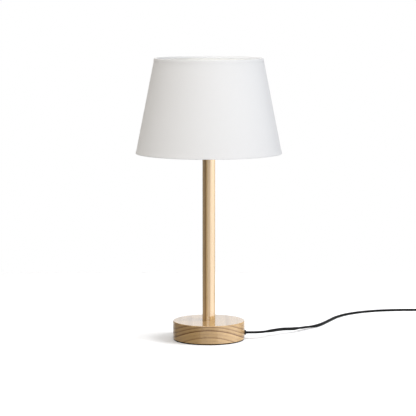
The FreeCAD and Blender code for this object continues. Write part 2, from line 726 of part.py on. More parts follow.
# Cord clamp in the plate's slot: a block under the ceiling, a bar under the cord and two screws
body = start_body("cord_clamp_block", x="clamp_place", z="exit_height + cord_thickness / 2")
sketch = start_sketch(body, "XY_Plane")
box_outline(sketch, "clamp_width", "clamp_length")
for side in ("1", "-1"):
    ring(sketch, "0", f"{side} * clamp_screws / 2", "clamp_shank / 2 + screw_clearance")
pad(body, sketch, f"{ceiling} - exit_height - cord_thickness / 2")
body = start_body("cord_clamp_bar", x="clamp_place", z="exit_height - cord_thickness / 2 - clamp_bar")
sketch = start_sketch(body, "XY_Plane")
box_outline(sketch, "clamp_width", "clamp_length")
for side in ("1", "-1"):
    ring(sketch, "0", f"{side} * clamp_screws / 2", "clamp_shank / 2 + screw_clearance")
pad(body, sketch, "clamp_bar")
clamp_screw_foot = "(exit_height - cord_thickness / 2 - clamp_bar - clamp_head_height)"
body = start_body("cord_clamp_screws", x="clamp_place", z=clamp_screw_foot, angle=90)
screw_top = f"({ceiling} + screw_bite - {clamp_screw_foot})"
screw = revolve(
    body,
    [
        ("0", "0"),
        ("clamp_head / 2 - clamp_head_edge", "0"),
        ("clamp_head / 2", "clamp_head_edge", "clamp_head_edge"),
        ("clamp_head / 2", "clamp_head_height"),
        ("clamp_shank / 2", "clamp_head_height"),
        ("clamp_shank / 2", screw_top),
        ("0", screw_top),
    ],
    offset="clamp_screws / 2",
)
mirror(body, screw, "YZ_Plane")


def sweep_flat(path, start, across, along):
    """The flat cord's section along a path in one plane, its broad way square to that plane."""
    half_thick = mm("cord_thickness / 2")
    straight = mm("cord_width / 2") - half_thick
    side = along.cross(across).normalize() * half_thick
    low, high = start - across * straight, start + across * straight
    edges = [
        Part.LineSegment(low + side, high + side).toShape(),
        Part.Arc(high + side, high + across * half_thick, high - side).toShape(),
        Part.LineSegment(high - side, low - side).toShape(),
        Part.Arc(low - side, low - across * half_thick, low + side).toShape(),
    ]
    return path.makePipeShell([Part.Wire(edges)], True, False)


# Cord inside the lamp: from the bushing's mouth, past the clamp, up the threaded tube, into the cap
exit_x = mm("base_diameter / 2 + glue_gap + bushing_collar")
exit_z = mm("exit_height")
bend = mm("cord_bend")
cord_end = mm(f"{column_top} + rod_reach + jacket_reach")
mouth = FreeCAD.Vector(exit_x, 0, exit_z)
rise = bend * (1 - math.sqrt(0.5))
inner_path = Part.Wire(
    [
        Part.LineSegment(mouth, FreeCAD.Vector(bend, 0, exit_z)).toShape(),
        Part.Arc(
            FreeCAD.Vector(bend, 0, exit_z),
            FreeCAD.Vector(rise, 0, exit_z + rise),
            FreeCAD.Vector(0, 0, exit_z + bend),
        ).toShape(),
        Part.LineSegment(FreeCAD.Vector(0, 0, exit_z + bend), FreeCAD.Vector(0, 0, cord_end)).toShape(),
    ]
)
add_shape("cord_inner", sweep_flat(inner_path, mouth, FreeCAD.Vector(0, 1, 0), FreeCAD.Vector(-1, 0, 0)))

# Two cores, split out of the cord in the cap, each to the inner side of its terminal block
core_apart = mm("cord_width / 4")
core_end = mm("terminal_spread / 2 - terminal_block / 2")
core_level = mm(f"{column_top} + insert_lift - terminal_block / 2")
cores = []
for side in (1, -1):
    core_route = [
        (0, side * core_apart, cord_end),
        (0, side * core_apart, core_level),
        (side * core_end, side * core_apart, core_level),
    ]
    cores.append(sweep_round(rounded_route("core", core_route, mm("core_bend")), mm("core_diameter")))
add_shape("core_wires", Part.makeCompound(cores))

# Lampholder's cap, moulded, screwed on the tube and locked by a grub screw in its neck
thread_bore = "(rod_diameter / 2 + thread_clearance)"
body = start_body("holder_cap", z=column_top)
revolve(
    body,
    [
        (thread_bore, "0"),
        ("cap_neck / 2", "0"),
        ("cap_neck / 2", "cap_neck_height"),
        ("cap_diameter / 2 - cap_corner", "cap_neck_height"),
        ("cap_diameter / 2", "cap_neck_height + cap_corner", "cap_corner"),
        ("cap_diameter / 2", "cap_height"),
        ("cap_diameter / 2 - cap_wall", "cap_height"),
        ("cap_diameter / 2 - cap_wall", "cap_floor + cap_corner - cap_wall"),
        ("cap_diameter / 2 - cap_corner", "cap_floor", "-(cap_corner - cap_wall)"),
        (thread_bore, "cap_floor"),
    ],
)
sketch = start_sketch(body, "XZ_Plane")
ring(sketch, "0", "cap_neck_height / 2", "grub_diameter / 2 + thread_clearance")
pocket(body, sketch, "cap_neck")
grub_length = f"(cap_neck / 2 - {thread_bore})"
body = start_body(
    "holder_grub_screw",
    y=thread_bore,
    z=f"{column_top} + cap_neck_height / 2",
    axis=FreeCAD.Vector(1, 0, 0),
    angle=-90,
)
revolve(
    body,
    [
        ("0", "0"),
        ("grub_diameter / 2 - grub_chamfer", "0"),
        ("grub_diameter / 2", "grub_chamfer"),
        ("grub_diameter / 2", grub_length),
        ("grub_socket / 2", grub_length),
        ("grub_socket / 2", f"{grub_length} - grub_socket_depth"),
        ("0", f"{grub_length} - grub_socket_depth"),
    ],
)

# Lampholder's skirt, screwed into the cap: the shade rests on its collar and the bulb goes into it
skirt_root_edge = "(cap_diameter / 2 - cap_wall - thread_clearance)"
collar_foot = "(cap_height + collar_gap - skirt_root)"
body = start_body("holder_skirt", z=f"{column_top} + skirt_root")
revolve(
    body,
    [
        ("skirt_bore / 2", "0"),
        (skirt_root_edge, "0"),
        (skirt_root_edge, collar_foot),
        ("collar_diameter / 2", collar_foot),
        ("collar_diameter / 2", "seat_height - skirt_root"),
        ("skirt_diameter / 2", "seat_height - skirt_root"),
        ("skirt_diameter / 2", "skirt_height - skirt_root"),
        ("skirt_mouth / 2", "skirt_height - skirt_root"),
        ("skirt_mouth / 2", "skirt_height - skirt_root - skirt_lip"),
        ("skirt_bore / 2", "skirt_height - skirt_root - skirt_lip"),
    ],
)

# Insert that carries the contacts, pressed into the skirt, with a terminal block under each side
insert_edge = "(skirt_bore / 2 - insert_clearance)"
body = start_body("holder_insert", z=f"{column_top} + insert_lift")
revolve(body, [("0", "0"), (insert_edge, "0"), (insert_edge, "insert_thickness"), ("0", "insert_thickness")])
body = start_body("holder_terminals", z=f"{column_top} + insert_lift - terminal_block")
sketch = start_sketch(body, "XY_Plane")
box_outline(sketch, "terminal_block", "terminal_block", across="terminal_spread / 2")
mirror(body, pad(body, sketch, "terminal_block"), "YZ_Plane")
sketch = start_sketch(body, "YZ_Plane")
lift_sketch(sketch, "terminal_spread / 2 + terminal_block / 2 - terminal_screw_bite")
ring(sketch, "0", "terminal_block / 2", "terminal_screw / 2 + thread_clearance")
mirror(body, pocket(body, sketch, upward=True), "YZ_Plane")
body = start_body(
    "terminal_screws",
    z=f"{column_top} + insert_lift - terminal_block / 2",
    axis=FreeCAD.Vector(0, 1, 0),
    angle=90,
)
screw_in = "(terminal_spread / 2 + terminal_block / 2 - terminal_screw_bite)"
screw_out = "(terminal_spread / 2 + terminal_block / 2)"
screw = revolve(
    body,
    [
        ("0", screw_in),
        ("terminal_screw / 2", screw_in),
        ("terminal_screw / 2", screw_out),
        ("terminal_screw_head / 2", screw_out),
        ("terminal_screw_head / 2", f"{screw_out} + terminal_screw_head_height"),
        ("0", f"{screw_out} + terminal_screw_head_height"),
    ],
)
mirror(body, screw, "XY_Plane")

# Shell for the bulb's screw cap; its thread is left plain
body = start_body("holder_shell", z=f"{column_top} + insert_lift + insert_thickness + glue_gap")
revolve(
    body,
    [
        ("shell_hole / 2", "0"),
        ("shell_bore / 2 + shell_wall", "0"),
        ("shell_bore / 2 + shell_wall", "shell_height"),
        ("shell_bore / 2", "shell_height"),
        ("shell_bore / 2", "shell_wall"),
        ("shell_hole / 2", "shell_wall"),
    ],
)

# Centre contact, a bent tongue on the insert
body = start_body("centre_contact", z=f"{column_top} + insert_lift + insert_thickness")
sketch = start_sketch(body, "XZ_Plane")
outline(
    sketch,
    [
        ("-contact_foot", "0"),
        ("-contact_fold", "0"),
        ("contact_fold", "contact_rise - contact_metal"),
        ("contact_reach", "contact_rise - contact_metal"),
        ("contact_reach", "contact_rise"),
        ("contact_fold - contact_metal / 2", "contact_rise"),
        ("-contact_fold - contact_metal / 2", "contact_metal"),
        ("-contact_foot", "contact_metal"),
    ],
)
pad(body, sketch, "contact_width", symmetric=True)

# Levels inside the shade, and the place of each layer from its outermost surface
slope = "((shade_bottom - shade_top) / 2 / shade_height)"
skin_foot = "(trim_thickness + glue_gap)"
skin_top = f"(shade_height - {skin_foot})"
liner_inset = f"({skin_foot} + cover_thickness + glue_gap)"
ring_inset = f"({liner_inset} + liner_thickness + glue_gap + ring_wire / 2)"
ring_low = f"({skin_foot} + ring_wire / 2)"
ring_high = f"(shade_height - {ring_low})"


def wall_at(inset, up):
    """Radius of the shade at a height above its lower rim, that much inside its outermost surface."""
    return f"(shade_bottom / 2 - ({inset}) - {slope} * ({up}))"


def shade_skin(label, inset, thickness):
    """One conical skin of the shade, from rim to rim."""
    skin = start_body(label, z=shade_foot)
    inside = f"{inset} + {thickness}"
    revolve(
        skin,
        [
            (wall_at(inside, skin_foot), skin_foot),
            (wall_at(inset, skin_foot), skin_foot),
            (wall_at(inset, skin_top), skin_top),
            (wall_at(inside, skin_top), skin_top),
        ],
    )


def shade_rim(place, level, rim, inward):
    """A rim of the shade: its wire ring, and the strip that is turned round the skins and the ring."""
    hoop_radius = wall_at(ring_inset, level)
    hoop_level = f"{shade_foot} + {level}"
    wire = "ring_wire / 2"
    hoop = primitive("Torus", place + "_wire_ring", z=hoop_level, Radius1=hoop_radius, Radius2=wire)
    NODES.append(hoop)
    outside = f"({rim} + {inward} * trim_height)"
    under = f"({rim} + {inward} * trim_thickness)"
    inside = f"({rim} + {inward} * trim_return)"
    leaf = f"({hoop_radius} - ring_wire / 2 - glue_gap)"
    strip = start_body(place + "_trim", z=shade_foot)
    revolve(
        strip,
        [
            (wall_at("0", rim), rim),
            (wall_at("0", outside), outside),
            (wall_at("trim_thickness", outside), outside),
            (wall_at("trim_thickness", under), under),
            (leaf, under),
            (leaf, inside),
            (f"{leaf} - trim_thickness", inside),
            (f"{leaf} - trim_thickness", rim),
        ],
    )


# Shade: the fabric cover, the lining it is glued to, and both rims
shade_skin("shade_cover", skin_foot, "cover_thickness")
shade_skin("shade_liner", liner_inset, "liner_thickness")
shade_rim("bottom", ring_low, "0", "1")
shade_rim("top", ring_high, "shade_height", "-1")

# Carrier: a hub that rests on the skirt's collar, and three arms welded to it and to the lower ring
body = start_body("carrier_hub", z=hub_level)
revolve(
    body,
    [
        ("hub_bore / 2", "0"),
        ("hub_diameter / 2", "0"),
        ("hub_diameter / 2", "hub_thickness"),
        ("hub_bore / 2", "hub_thickness"),
    ],
)
arm_foot = f"({skin_foot} + ring_wire + glue_gap)"
arm_start = mm("collar_diameter / 2 + arm_clearance")
arm_end = mm(wall_at(f"{liner_inset} + liner_thickness + arm_end_gap", f"{arm_foot} + arm_wire"))
arm_high = mm(f"{hub_level} - glue_gap - arm_wire / 2")
arm_low = mm(f"{shade_foot} + {arm_foot} + arm_wire / 2")
arm_flat = mm("arm_flat")
arms = []
arm_azimuths = (30, 150, 270)
for azimuth in arm_azimuths:
    outward = FreeCAD.Vector(math.cos(math.radians(azimuth)), math.sin(math.radians(azimuth)), 0)
    arm_route = [
        outward * arm_start + FreeCAD.Vector(0, 0, arm_high),
        outward * (arm_start + arm_flat) + FreeCAD.Vector(0, 0, arm_high),
        outward * (arm_end - arm_flat) + FreeCAD.Vector(0, 0, arm_low),
        outward * arm_end + FreeCAD.Vector(0, 0, arm_low),
    ]
    arms.append(sweep_round(rounded_route("arm", arm_route, mm("arm_bend")), mm("arm_wire")))
add_shape("carrier_arms", Part.makeCompound(arms))

# Clamp ring that screws down the skirt on to the hub; its thread is left plain
clamp_ring_bore = "(skirt_diameter / 2 + clamp_ring_clearance)"
body = start_body("shade_clamp_ring", z=f"{hub_level} + hub_thickness + hub_gap")
revolve(
    body,
    [
        (clamp_ring_bore, "0"),
        ("clamp_ring_diameter / 2", "0"),
        ("clamp_ring_diameter / 2", "clamp_ring_height - clamp_ring_edge"),
        ("clamp_ring_diameter / 2 - clamp_ring_edge", "clamp_ring_height", "clamp_ring_edge"),
        (clamp_ring_bore, "clamp_ring_height"),
    ],
)
sketch = start_sketch(body, "XY_Plane")
box_outline(sketch, "2 * grip_depth", "grip_width", across="clamp_ring_diameter / 2")
grip_count = 16
repeat(body, pocket(body, sketch, symmetric=True), grip_count)

# Bulb's tip and the black glass that insulates it from the cap
body = start_body("bulb_tip", z=bulb_foot)
revolve(
    body,
    [
        ("0", "0"),
        ("bulb_tip_diameter / 2 - bulb_tip_edge", "0"),
        ("bulb_tip_diameter / 2", "bulb_tip_edge", "bulb_tip_edge"),
        ("bulb_tip_diameter / 2", "bulb_tip_height"),
        ("0", "bulb_tip_height"),
    ],
)
cap_root = "(bulb_cap_diameter / 2 - bulb_cap_crest)"
body = start_body("bulb_insulator", z=bulb_foot)
revolve(
    body,
    [
        ("0", "bulb_tip_height + glue_gap"),
        ("bulb_tip_diameter / 2 + insulator_margin", "bulb_tip_height + glue_gap"),
        (f"{cap_root} - insulator_inset", "bulb_cap_foot - glue_gap"),
        ("0", "bulb_cap_foot - glue_gap"),
    ],
)

# Bulb's screw cap, pressed sheet with rounded crests
crest_arc = "((bulb_thread^2 / 4 + bulb_cap_crest^2) / (2 * bulb_cap_crest))"
crest_count = 5
crest_foot = "(bulb_cap_foot + bulb_cap_land)"
cap_outline = [("0", "bulb_cap_foot"), (cap_root, "bulb_cap_foot"), (cap_root, crest_foot)]
for crest in range(1, crest_count + 1):
    cap_outline.append((cap_root, f"{crest_foot} + {crest} * bulb_thread", crest_arc))
cap_outline.append((cap_root, "bulb_cap_rim"))
cap_outline.append((f"{cap_root} - bulb_cap_wall", "bulb_cap_rim"))
cap_outline.append((f"{cap_root} - bulb_cap_wall", "bulb_cap_foot + bulb_cap_wall"))
cap_outline.append(("0", "bulb_cap_foot + bulb_cap_wall"))
body = start_body("bulb_cap", z=bulb_foot)
revolve(body, cap_outline)

# Bulb's white housing, with its lower end in the cap, and the milky globe on it
globe = "(bulb_diameter / 2)"
globe_middle = f"(bulb_length - {globe})"
globe_foot = "(housing_rim + glue_gap)"
globe_rim = f"sqrt({globe}^2 - ({globe_middle} - {globe_foot})^2)"
globe_inside = f"({globe} - globe_wall)"
globe_rim_inside = f"sqrt({globe_inside}^2 - ({globe_middle} - {globe_foot})^2)"
housing_spigot = f"({cap_root} - bulb_cap_wall - glue_gap)"
housing_inside = f"({housing_spigot} - housing_wall)"
housing_foot = "(bulb_cap_rim + glue_gap)"
housing_floor = f"({housing_foot} + bulb_neck - housing_wall)"
body = start_body("bulb_housing", z=bulb_foot)
revolve(
    body,
    [
        (housing_inside, "bulb_cap_rim - bulb_spigot"),
        (housing_spigot, "bulb_cap_rim - bulb_spigot"),
        (housing_spigot, housing_foot),
        ("bulb_cap_diameter / 2", housing_foot),
        ("bulb_cap_diameter / 2", f"{housing_foot} + bulb_neck"),
        (globe_rim, "housing_rim"),
        (f"{globe_rim} - housing_wall", "housing_rim"),
        (housing_inside, housing_floor),
    ],
)
body = start_body("bulb_globe", z=bulb_foot)
revolve(
    body,
    [
        (globe_rim, globe_foot),
        ("0", "bulb_length", globe),
        ("0", "bulb_length - globe_wall"),
        (globe_rim_inside, globe_foot, f"-{globe_inside}"),
    ],
)

# Round board with the light sources, and the driver board that stands under it
board_level = "(housing_rim - led_board_drop)"
housing_slope = f"(({globe_rim} - housing_wall - {housing_inside}) / (housing_rim - {housing_floor}))"
board_edge = f"({globe_rim} - housing_wall - led_board_drop * {housing_slope} - led_board_gap)"
body = start_body("led_board", z=f"{bulb_foot} + {board_level}")
board_top = "led_board_thickness"
revolve(body, [("0", "0"), (board_edge, "0"), (board_edge, board_top), ("0", board_top)])
body = start_body("leds", z=f"{bulb_foot} + {board_level} + led_board_thickness")
sketch = start_sketch(body, "XY_Plane")
box_outline(sketch, "led_size", "led_size", across="led_circle / 2")
led_count = 8
repeat(body, pad(body, sketch, "led_height"), led_count)
body = start_body("driver_board", z=f"{bulb_foot} + bulb_cap_rim")
sketch = start_sketch(body, "XY_Plane")
box_outline(sketch, "driver_width", "driver_thickness")
pad(body, sketch, f"{board_level} - bulb_cap_rim")

# Switch on the cord: places that its pieces share
switch_middle = "(switch_near + switch_length / 2)"
pivot_level = "(switch_top_height - pivot_drop)"
cheek_inside = "(rocker_width / 2 + rocker_gap)"
hole_middle = ("switch_screw_side", "switch_screws_apart / 2")


def switch_shell(label, level, height):
    """One half of the switch's case, solid and rounded in plan."""
    shell = start_body(label, x="switch_across", y=switch_middle, z=level)
    plan = start_sketch(shell, "XY_Plane")
    round_box(plan, "switch_width", "switch_length", "switch_round")
    pad(shell, plan, height)
    return shell


def switch_hollow(shell, lift, depth):
    """The room inside one half of the case."""
    plan = start_sketch(shell, "XY_Plane")
    lift_sketch(plan, lift)
    length = "(switch_length - 2 * switch_end)"
    round_box(plan, "(switch_width - 2 * switch_wall)", length, "(switch_round - switch_wall)")
    pocket(shell, plan, depth, upward=True)


def switch_cord_holes(shell, level):
    """Half holes in one half of the case: one for the cord in each end, and one for each core behind them."""
    for lift, upward in (("-1", False), ("1", True)):
        hole = start_sketch(shell, "XZ_Plane")
        lift_sketch(hole, f"{lift} * (switch_length / 2 - cord_entry)")
        ring(hole, "0", level, "cord_width / 2 + slot_clearance")
        pocket(shell, hole, upward=upward)
    passages = start_sketch(shell, "XZ_Plane")
    for side in ("1", "-1"):
        ring(passages, f"({side}) * cord_width / 4", level, "core_diameter / 2 + slot_clearance")
    pocket(shell, passages, symmetric=True)


# Lower shell, hollow, with two bosses and a sunk hole up through each
body = switch_shell("switch_bottom", "0", "switch_base_height")
switch_hollow(body, "switch_wall", None)
sketch = start_sketch(body, "XY_Plane")
ring(sketch, *hole_middle, "boss_diameter / 2")
repeat(body, pad(body, sketch, "switch_base_height"), 2)
sketch = start_sketch(body, "XY_Plane")
ring(sketch, *hole_middle, "switch_screw / 2 + slot_clearance")
repeat(body, pocket(body, sketch, upward=True), 2)
sketch = start_sketch(body, "XY_Plane")
ring(sketch, *hole_middle, "switch_screw_head / 2 + slot_clearance")
repeat(body, pocket(body, sketch, "switch_screw_sink", upward=True), 2)
switch_cord_holes(body, "switch_base_height")

# Upper shell, with the rocker's window and a bearing cheek on each side of it
body = switch_shell("switch_top", "switch_base_height + shell_gap", "switch_top_height")
soften(body, "switch_top_height", "switch_edge")
switch_hollow(body, "0", "switch_top_height - switch_wall")
sketch = start_sketch(body, "XY_Plane")
ring(sketch, *hole_middle, "boss_diameter / 2")
repeat(body, pad(body, sketch, "switch_top_height - switch_wall"), 2)
sketch = start_sketch(body, "XY_Plane")
ring(sketch, *hole_middle, "switch_screw / 2 + pilot_clearance")
repeat(body, pocket(body, sketch, "switch_screw_bite", upward=True), 2)
sketch = start_sketch(body, "XY_Plane")
lift_sketch(sketch, f"{pivot_level} - cheek_depth")
box_outline(sketch, "cheek_thickness", "cheek_length", across=f"{cheek_inside} + cheek_thickness / 2")
mirror(body, pad(body, sketch, "cheek_depth + pivot_drop - switch_wall"), "YZ_Plane")
sketch = start_sketch(body, "XY_Plane")
box_outline(sketch, f"2 * {cheek_inside}", "2 * (rocker_reach + rocker_gap)")
pocket(body, sketch, upward=True)
sketch = start_sketch(body, "YZ_Plane")
ring(sketch, "0", pivot_level, "pivot_diameter / 2 + pivot_clearance")
pocket(body, sketch, f"2 * {cheek_inside} + 2 * cheek_thickness", symmetric=True)
switch_cord_holes(body, "-shell_gap")

# Rocker, drawn level and leaned to its off position, with the contact strip under it
rocker_place = {
    "x": "switch_across",
    "y": switch_middle,
    "z": f"switch_base_height + shell_gap + {pivot_level}",
    "axis": FreeCAD.Vector(1, 0, 0),
    "angle": -mm("rocker_tilt"),
}
low_end = "sqrt(rocker_reach^2 - rocker_depth^2)"
high_end = "sqrt(rocker_reach^2 - rocker_rise^2)"
body = start_body("switch_rocker", **rocker_place)
sketch = start_sketch(body, "YZ_Plane")
outline(
    sketch,
    [
        (f"-{low_end}", "-rocker_depth", "rocker_reach"),
        (low_end, "-rocker_depth"),
        (high_end, "rocker_rise", "rocker_reach"),
        ("0", "rocker_dip"),
        (f"-{high_end}", "rocker_rise"),
    ],
)
pad(body, sketch, "rocker_width", symmetric=True)
sketch = start_sketch(body, "YZ_Plane")
ring(sketch, "0", "0", "pivot_diameter / 2")
pad(body, sketch, "rocker_width + 2 * pivot_length", symmetric=True)
body = start_body("switch_contact", **rocker_place)
sketch = start_sketch(body, "XY_Plane")
lift_sketch(sketch, "-(rocker_depth + glue_gap + strip_metal)")
box_outline(sketch, "strip_width", "strip_length")
pad(body, sketch, "strip_metal")

# Terminal blocks on the lower shell's floor, and the cores: one to each block, the other straight through
body = start_body("switch_terminals", x="switch_across", y=switch_middle, z="switch_wall")
for side in ("1", "-1"):
    sketch = start_sketch(body, "XY_Plane")
    block_y = f"({side}) * (block_near + block_width / 2)"
    box_outline(sketch, "block_width", "block_width", across="block_side + block_width / 2", up=block_y)
    pad(body, sketch, "block_height")
body = start_body("switch_cores", x="switch_across", y=switch_middle, z="switch_base_height")
core_reach = "(switch_length / 2 - cord_entry)"
sketch = start_sketch(body, "XZ_Plane")
ring(sketch, "-cord_width / 4", "0", "core_diameter / 2")
pad(body, sketch, f"2 * {core_reach}", symmetric=True)
sketch = start_sketch(body, "XZ_Plane")
lift_sketch(sketch, "block_near + block_width")
ring(sketch, "cord_width / 4", "0", "core_diameter / 2")
mirror(body, pad(body, sketch, f"{core_reach} - block_near - block_width"), "XZ_Plane")

# Screws that hold the two shells together, from below
screw_foot = "(switch_screw_sink - switch_screw_head_height)"
body = start_body(
    "switch_screws",
    x="switch_across",
    y=switch_middle,
    z=screw_foot,
    angle=math.degrees(math.atan2(mm(hole_middle[1]), mm(hole_middle[0]))),
)
screw_end = f"(switch_base_height + shell_gap + switch_screw_bite - {screw_foot})"
screw = revolve(
    body,
    [
        ("0", "0"),
        ("switch_screw_head / 2", "0"),
        ("switch_screw_head / 2", "switch_screw_head_height"),
        ("switch_screw / 2", "switch_screw_head_height"),
        ("switch_screw / 2", screw_end),
        ("0", screw_end),
    ],
    offset=f"sqrt(({hole_middle[0]})^2 + ({hole_middle[1]})^2)",
)
repeat(body, screw, 2)

# Plug, moulded on the cord, drawn along its own axis and laid flat on the floor
plug_place = {"x": "plug_across", "z": "plug_thickness / 2", "axis": FreeCAD.Vector(1, 0, 0), "angle": -90}
plug_face = "(plug_neck + plug_length)"
body = start_body("plug_body", y="plug_near", **plug_place)
sketch = start_sketch(body, "XZ_Plane")
outline(
    sketch,
    [
        ("-plug_neck_diameter / 2", "plug_neck"),
        ("plug_neck_diameter / 2", "plug_neck"),
        ("plug_width / 2", "plug_neck + plug_taper"),
        ("plug_width / 2", plug_face),
        ("-plug_width / 2", plug_face),
        ("-plug_width / 2", "plug_neck + plug_taper"),
    ],
)
pad(body, sketch, "plug_thickness", symmetric=True)
soften(body, "plug_thickness / 2", "plug_round", along="Y")
soften(body, "-plug_thickness / 2", "plug_round", along="Y")
revolve(
    body,
    [
        ("0", "0"),
        ("plug_mouth / 2", "0"),
        ("plug_neck_diameter / 2", "plug_neck"),
        ("plug_neck_diameter / 2", "plug_neck + plug_taper"),
        ("0", "plug_neck + plug_taper"),
    ],
)
sketch = start_sketch(body, "XY_Plane")
lift_sketch(sketch, plug_face)
ring(sketch, "pin_spacing / 2", "0", "pin_core / 2 + glue_gap")
ring(sketch, "-pin_spacing / 2", "0", "pin_core / 2 + glue_gap")
pocket(body, sketch, "pin_root")

# Plug's pins, each waisted under its insulating sleeve
body = start_body("plug_pins", y=f"plug_near + {plug_face}", **plug_place)
pin = revolve(
    body,
    [
        ("0", "-pin_root"),
        ("pin_core / 2", "-pin_root"),
        ("pin_core / 2", "sleeve_length + glue_gap"),
        ("pin_diameter / 2", "sleeve_length + glue_gap"),
        ("pin_diameter / 2", "pin_length - pin_end"),
        ("pin_diameter / 2 - pin_end", "pin_length", "pin_end"),
        ("0", "pin_length"),
    ],
    offset="pin_spacing / 2",
)
mirror(body, pin, "YZ_Plane")
body = start_body("plug_sleeves", y=f"plug_near + {plug_face}", **plug_place)
sleeve = revolve(
    body,
    [
        ("pin_core / 2 + glue_gap", "0"),
        ("sleeve_diameter / 2", "0"),
        ("sleeve_diameter / 2", "sleeve_length"),
        ("pin_core / 2 + glue_gap", "sleeve_length"),
    ],
    offset="pin_spacing / 2",
)
mirror(body, sleeve, "YZ_Plane")

# Free cord from the bushing to the switch: down to the floor, then round behind the lamp's side
# Each bend has its x, its y, and its height as a share of the drop from the bushing to the floor
cord_width = mm("cord_width")
floor_level = cord_width / 2
switch_level = mm("switch_base_height")
switch_x = mm("switch_across")
switch_far = mm("switch_near + switch_length")
cord_entry = mm("cord_entry")
bends = [
    (88, 0, 1),
    (107, 17.7, 0.95),
    (129, 44, 0.8),
    (147, 53.5, 0.6),
    (169, 87, 0.26),
    (193, 113, 0.02),
    (212, 156, 0),
    (230, 203, 0),
    (247, 236, 0),
    (277, 266, 0),
    (320, 287, 0),
    (366, 293, 0),
    (410, 292, 0),
    (442, 276, 0),
]
run_route = [
    (exit_x, 0, exit_z),
    *[(x, y, floor_level + height * (exit_z - floor_level)) for x, y, height in bends],
    (switch_x, switch_far + mm("far_lead"), switch_level),
    (switch_x, switch_far - cord_entry, switch_level),
]
run_path = rounded_route("cord_run", run_route)
add_shape("cord_run", sweep_round(run_path, cord_width))

# Free cord from the switch to the coil
coil_level = mm("tie_thickness + tie_clearance") + cord_width / 2
coil_y = mm("coil_middle")
switch_near = mm("switch_near")
link_route = [
    (switch_x, switch_near + cord_entry, switch_level),
    (switch_x, switch_near - mm("near_lead"), switch_level - mm("near_sink")),
    (switch_x, switch_near - mm("link_reach"), coil_level + mm("near_sink")),
    (mm("coil_entry"), coil_y + cord_width, coil_level),
]
link_path = rounded_route("cord_link", link_route)
add_shape("cord_link", sweep_round(link_path, cord_width))


def half_turn(start, end, heading):
    """Two quarter arcs that leave a point along a heading and come back against it at another."""
    reach = (end - start).Length / 2
    corners = (start + heading * reach, end + heading * reach)
    middle = (corners[0] + corners[1]) * 0.5
    arcs = []
    for corner, here, there in ((corners[0], start, middle), (corners[1], middle, end)):
        bisector = ((here - corner) + (there - corner)).normalize()
        through = corner + bisector * reach * (math.sqrt(2) - 1)
        arcs.append(Part.Arc(here, through, there).toShape())
    return arcs


def least_gap(path, diameter):
    """The smallest free space between a tube and itself, measured on points along its centre line."""
    spots = path.discretize(Distance=2)
    skip = int(math.pi * diameter / 2) + 1
    nearest = min((a - b).Length for i, a in enumerate(spots) for b in spots[i + skip :])
    return nearest - diameter


# Coil of the spare cord: it spirals inward on the floor, climbs in one half turn, and spirals out on top
coil_x = mm("coil_entry - coil_reach")
pitch = mm("coil_pitch")
half_turns_in, half_turns_out = 6, 4
reaches = [mm("coil_reach")]
for step in [-1] * half_turns_in + [0] + [1] * half_turns_out:
    reaches.append(reaches[-1] + step * pitch / 2)
spots = []
for turn, reach in enumerate(reaches):
    side = 1 if turn % 2 == 0 else -1
    level = coil_level if turn <= half_turns_in else coil_level + pitch
    spots.append(FreeCAD.Vector(coil_x + side * reach, coil_y, level))
lead = FreeCAD.Vector(0, cord_width, 0)
edges = [Part.LineSegment(spots[0] + lead, spots[0]).toShape()]
for turn, (start, end) in enumerate(zip(spots, spots[1:])):
    heading = FreeCAD.Vector(0, -1 if turn % 2 == 0 else 1, 0)
    edges += half_turn(start, end, heading)
edges.append(Part.LineSegment(spots[-1], spots[-1] + lead).toShape())
coil_path = Part.Wire(edges)
print("cord_coil least gap", round(least_gap(coil_path, cord_width), 2))
add_shape("cord_coil", sweep_round(coil_path, cord_width))

# Free cord from the coil to the plug
plug_x, plug_near, plug_level = mm("plug_across"), mm("plug_near"), mm("plug_thickness / 2")
coil_end = spots[-1] + lead
tail_route = [
    (coil_end.x, coil_end.y, coil_end.z),
    (coil_end.x, coil_end.y + mm("coil_lead"), coil_end.z - mm("coil_sink")),
    (plug_x, plug_near - mm("plug_lead"), plug_level + mm("plug_sink")),
    (plug_x, plug_near, plug_level),
]
tail_path = rounded_route("cord_tail", tail_route)
add_shape("cord_tail", sweep_round(tail_path, cord_width))
paths = (run_path, link_path, coil_path, tail_path)
print("free cord", round(sum(path.Length for path in paths) + mm("switch_length")), "mm")

# Tie round the coil's far side, where each turn is half way between two of its reaches
inner_turn = f"(coil_reach - ({half_turns_in} - 0.5) * coil_pitch / 2)"
outer_turn = "(coil_reach - 1.5 * coil_pitch / 2)"
tie_near = f"({inner_turn} - cord_width / 2 - tie_clearance - tie_sag)"
tie_far = f"({outer_turn} + cord_width / 2 + tie_clearance)"
tie_height = "(cord_width + coil_pitch + 2 * tie_clearance)"
body = start_body("coil_tie", x="coil_entry - coil_reach", y="coil_middle")
sketch = start_sketch(body, "YZ_Plane")
for grow in ("tie_thickness", "0"):
    low, high = f"(tie_thickness - {grow})", f"(tie_thickness + {tie_height} + {grow})"
    outline(
        sketch,
        [
            (f"{tie_near} - {grow}", low),
            (f"{tie_far} + {grow}", low),
            (f"{tie_far} + {grow}", high),
            (f"{tie_near} - {grow}", high),
        ],
    )
pad(body, sketch, "tie_width", symmetric=True)

# Every piece is sound before it is written out
doc.recompute()
for piece in doc.Objects:
    for word in ("Invalid", "Error"):
        if word in piece.State:
            raise RuntimeError(f"{piece.Label}: {word}")
for node in NODES:
    if node.Shape.isNull() or not node.Shape.isValid():
        raise RuntimeError(f"{node.Label}: no sound shape")
os.makedirs("parts", exist_ok=True)
for node in NODES:
    node.Shape.exportStep(f"parts/{node.Label}.step")
print(len(NODES), "nodes")
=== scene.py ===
import bpy
import math
from mathutils import Matrix, Vector


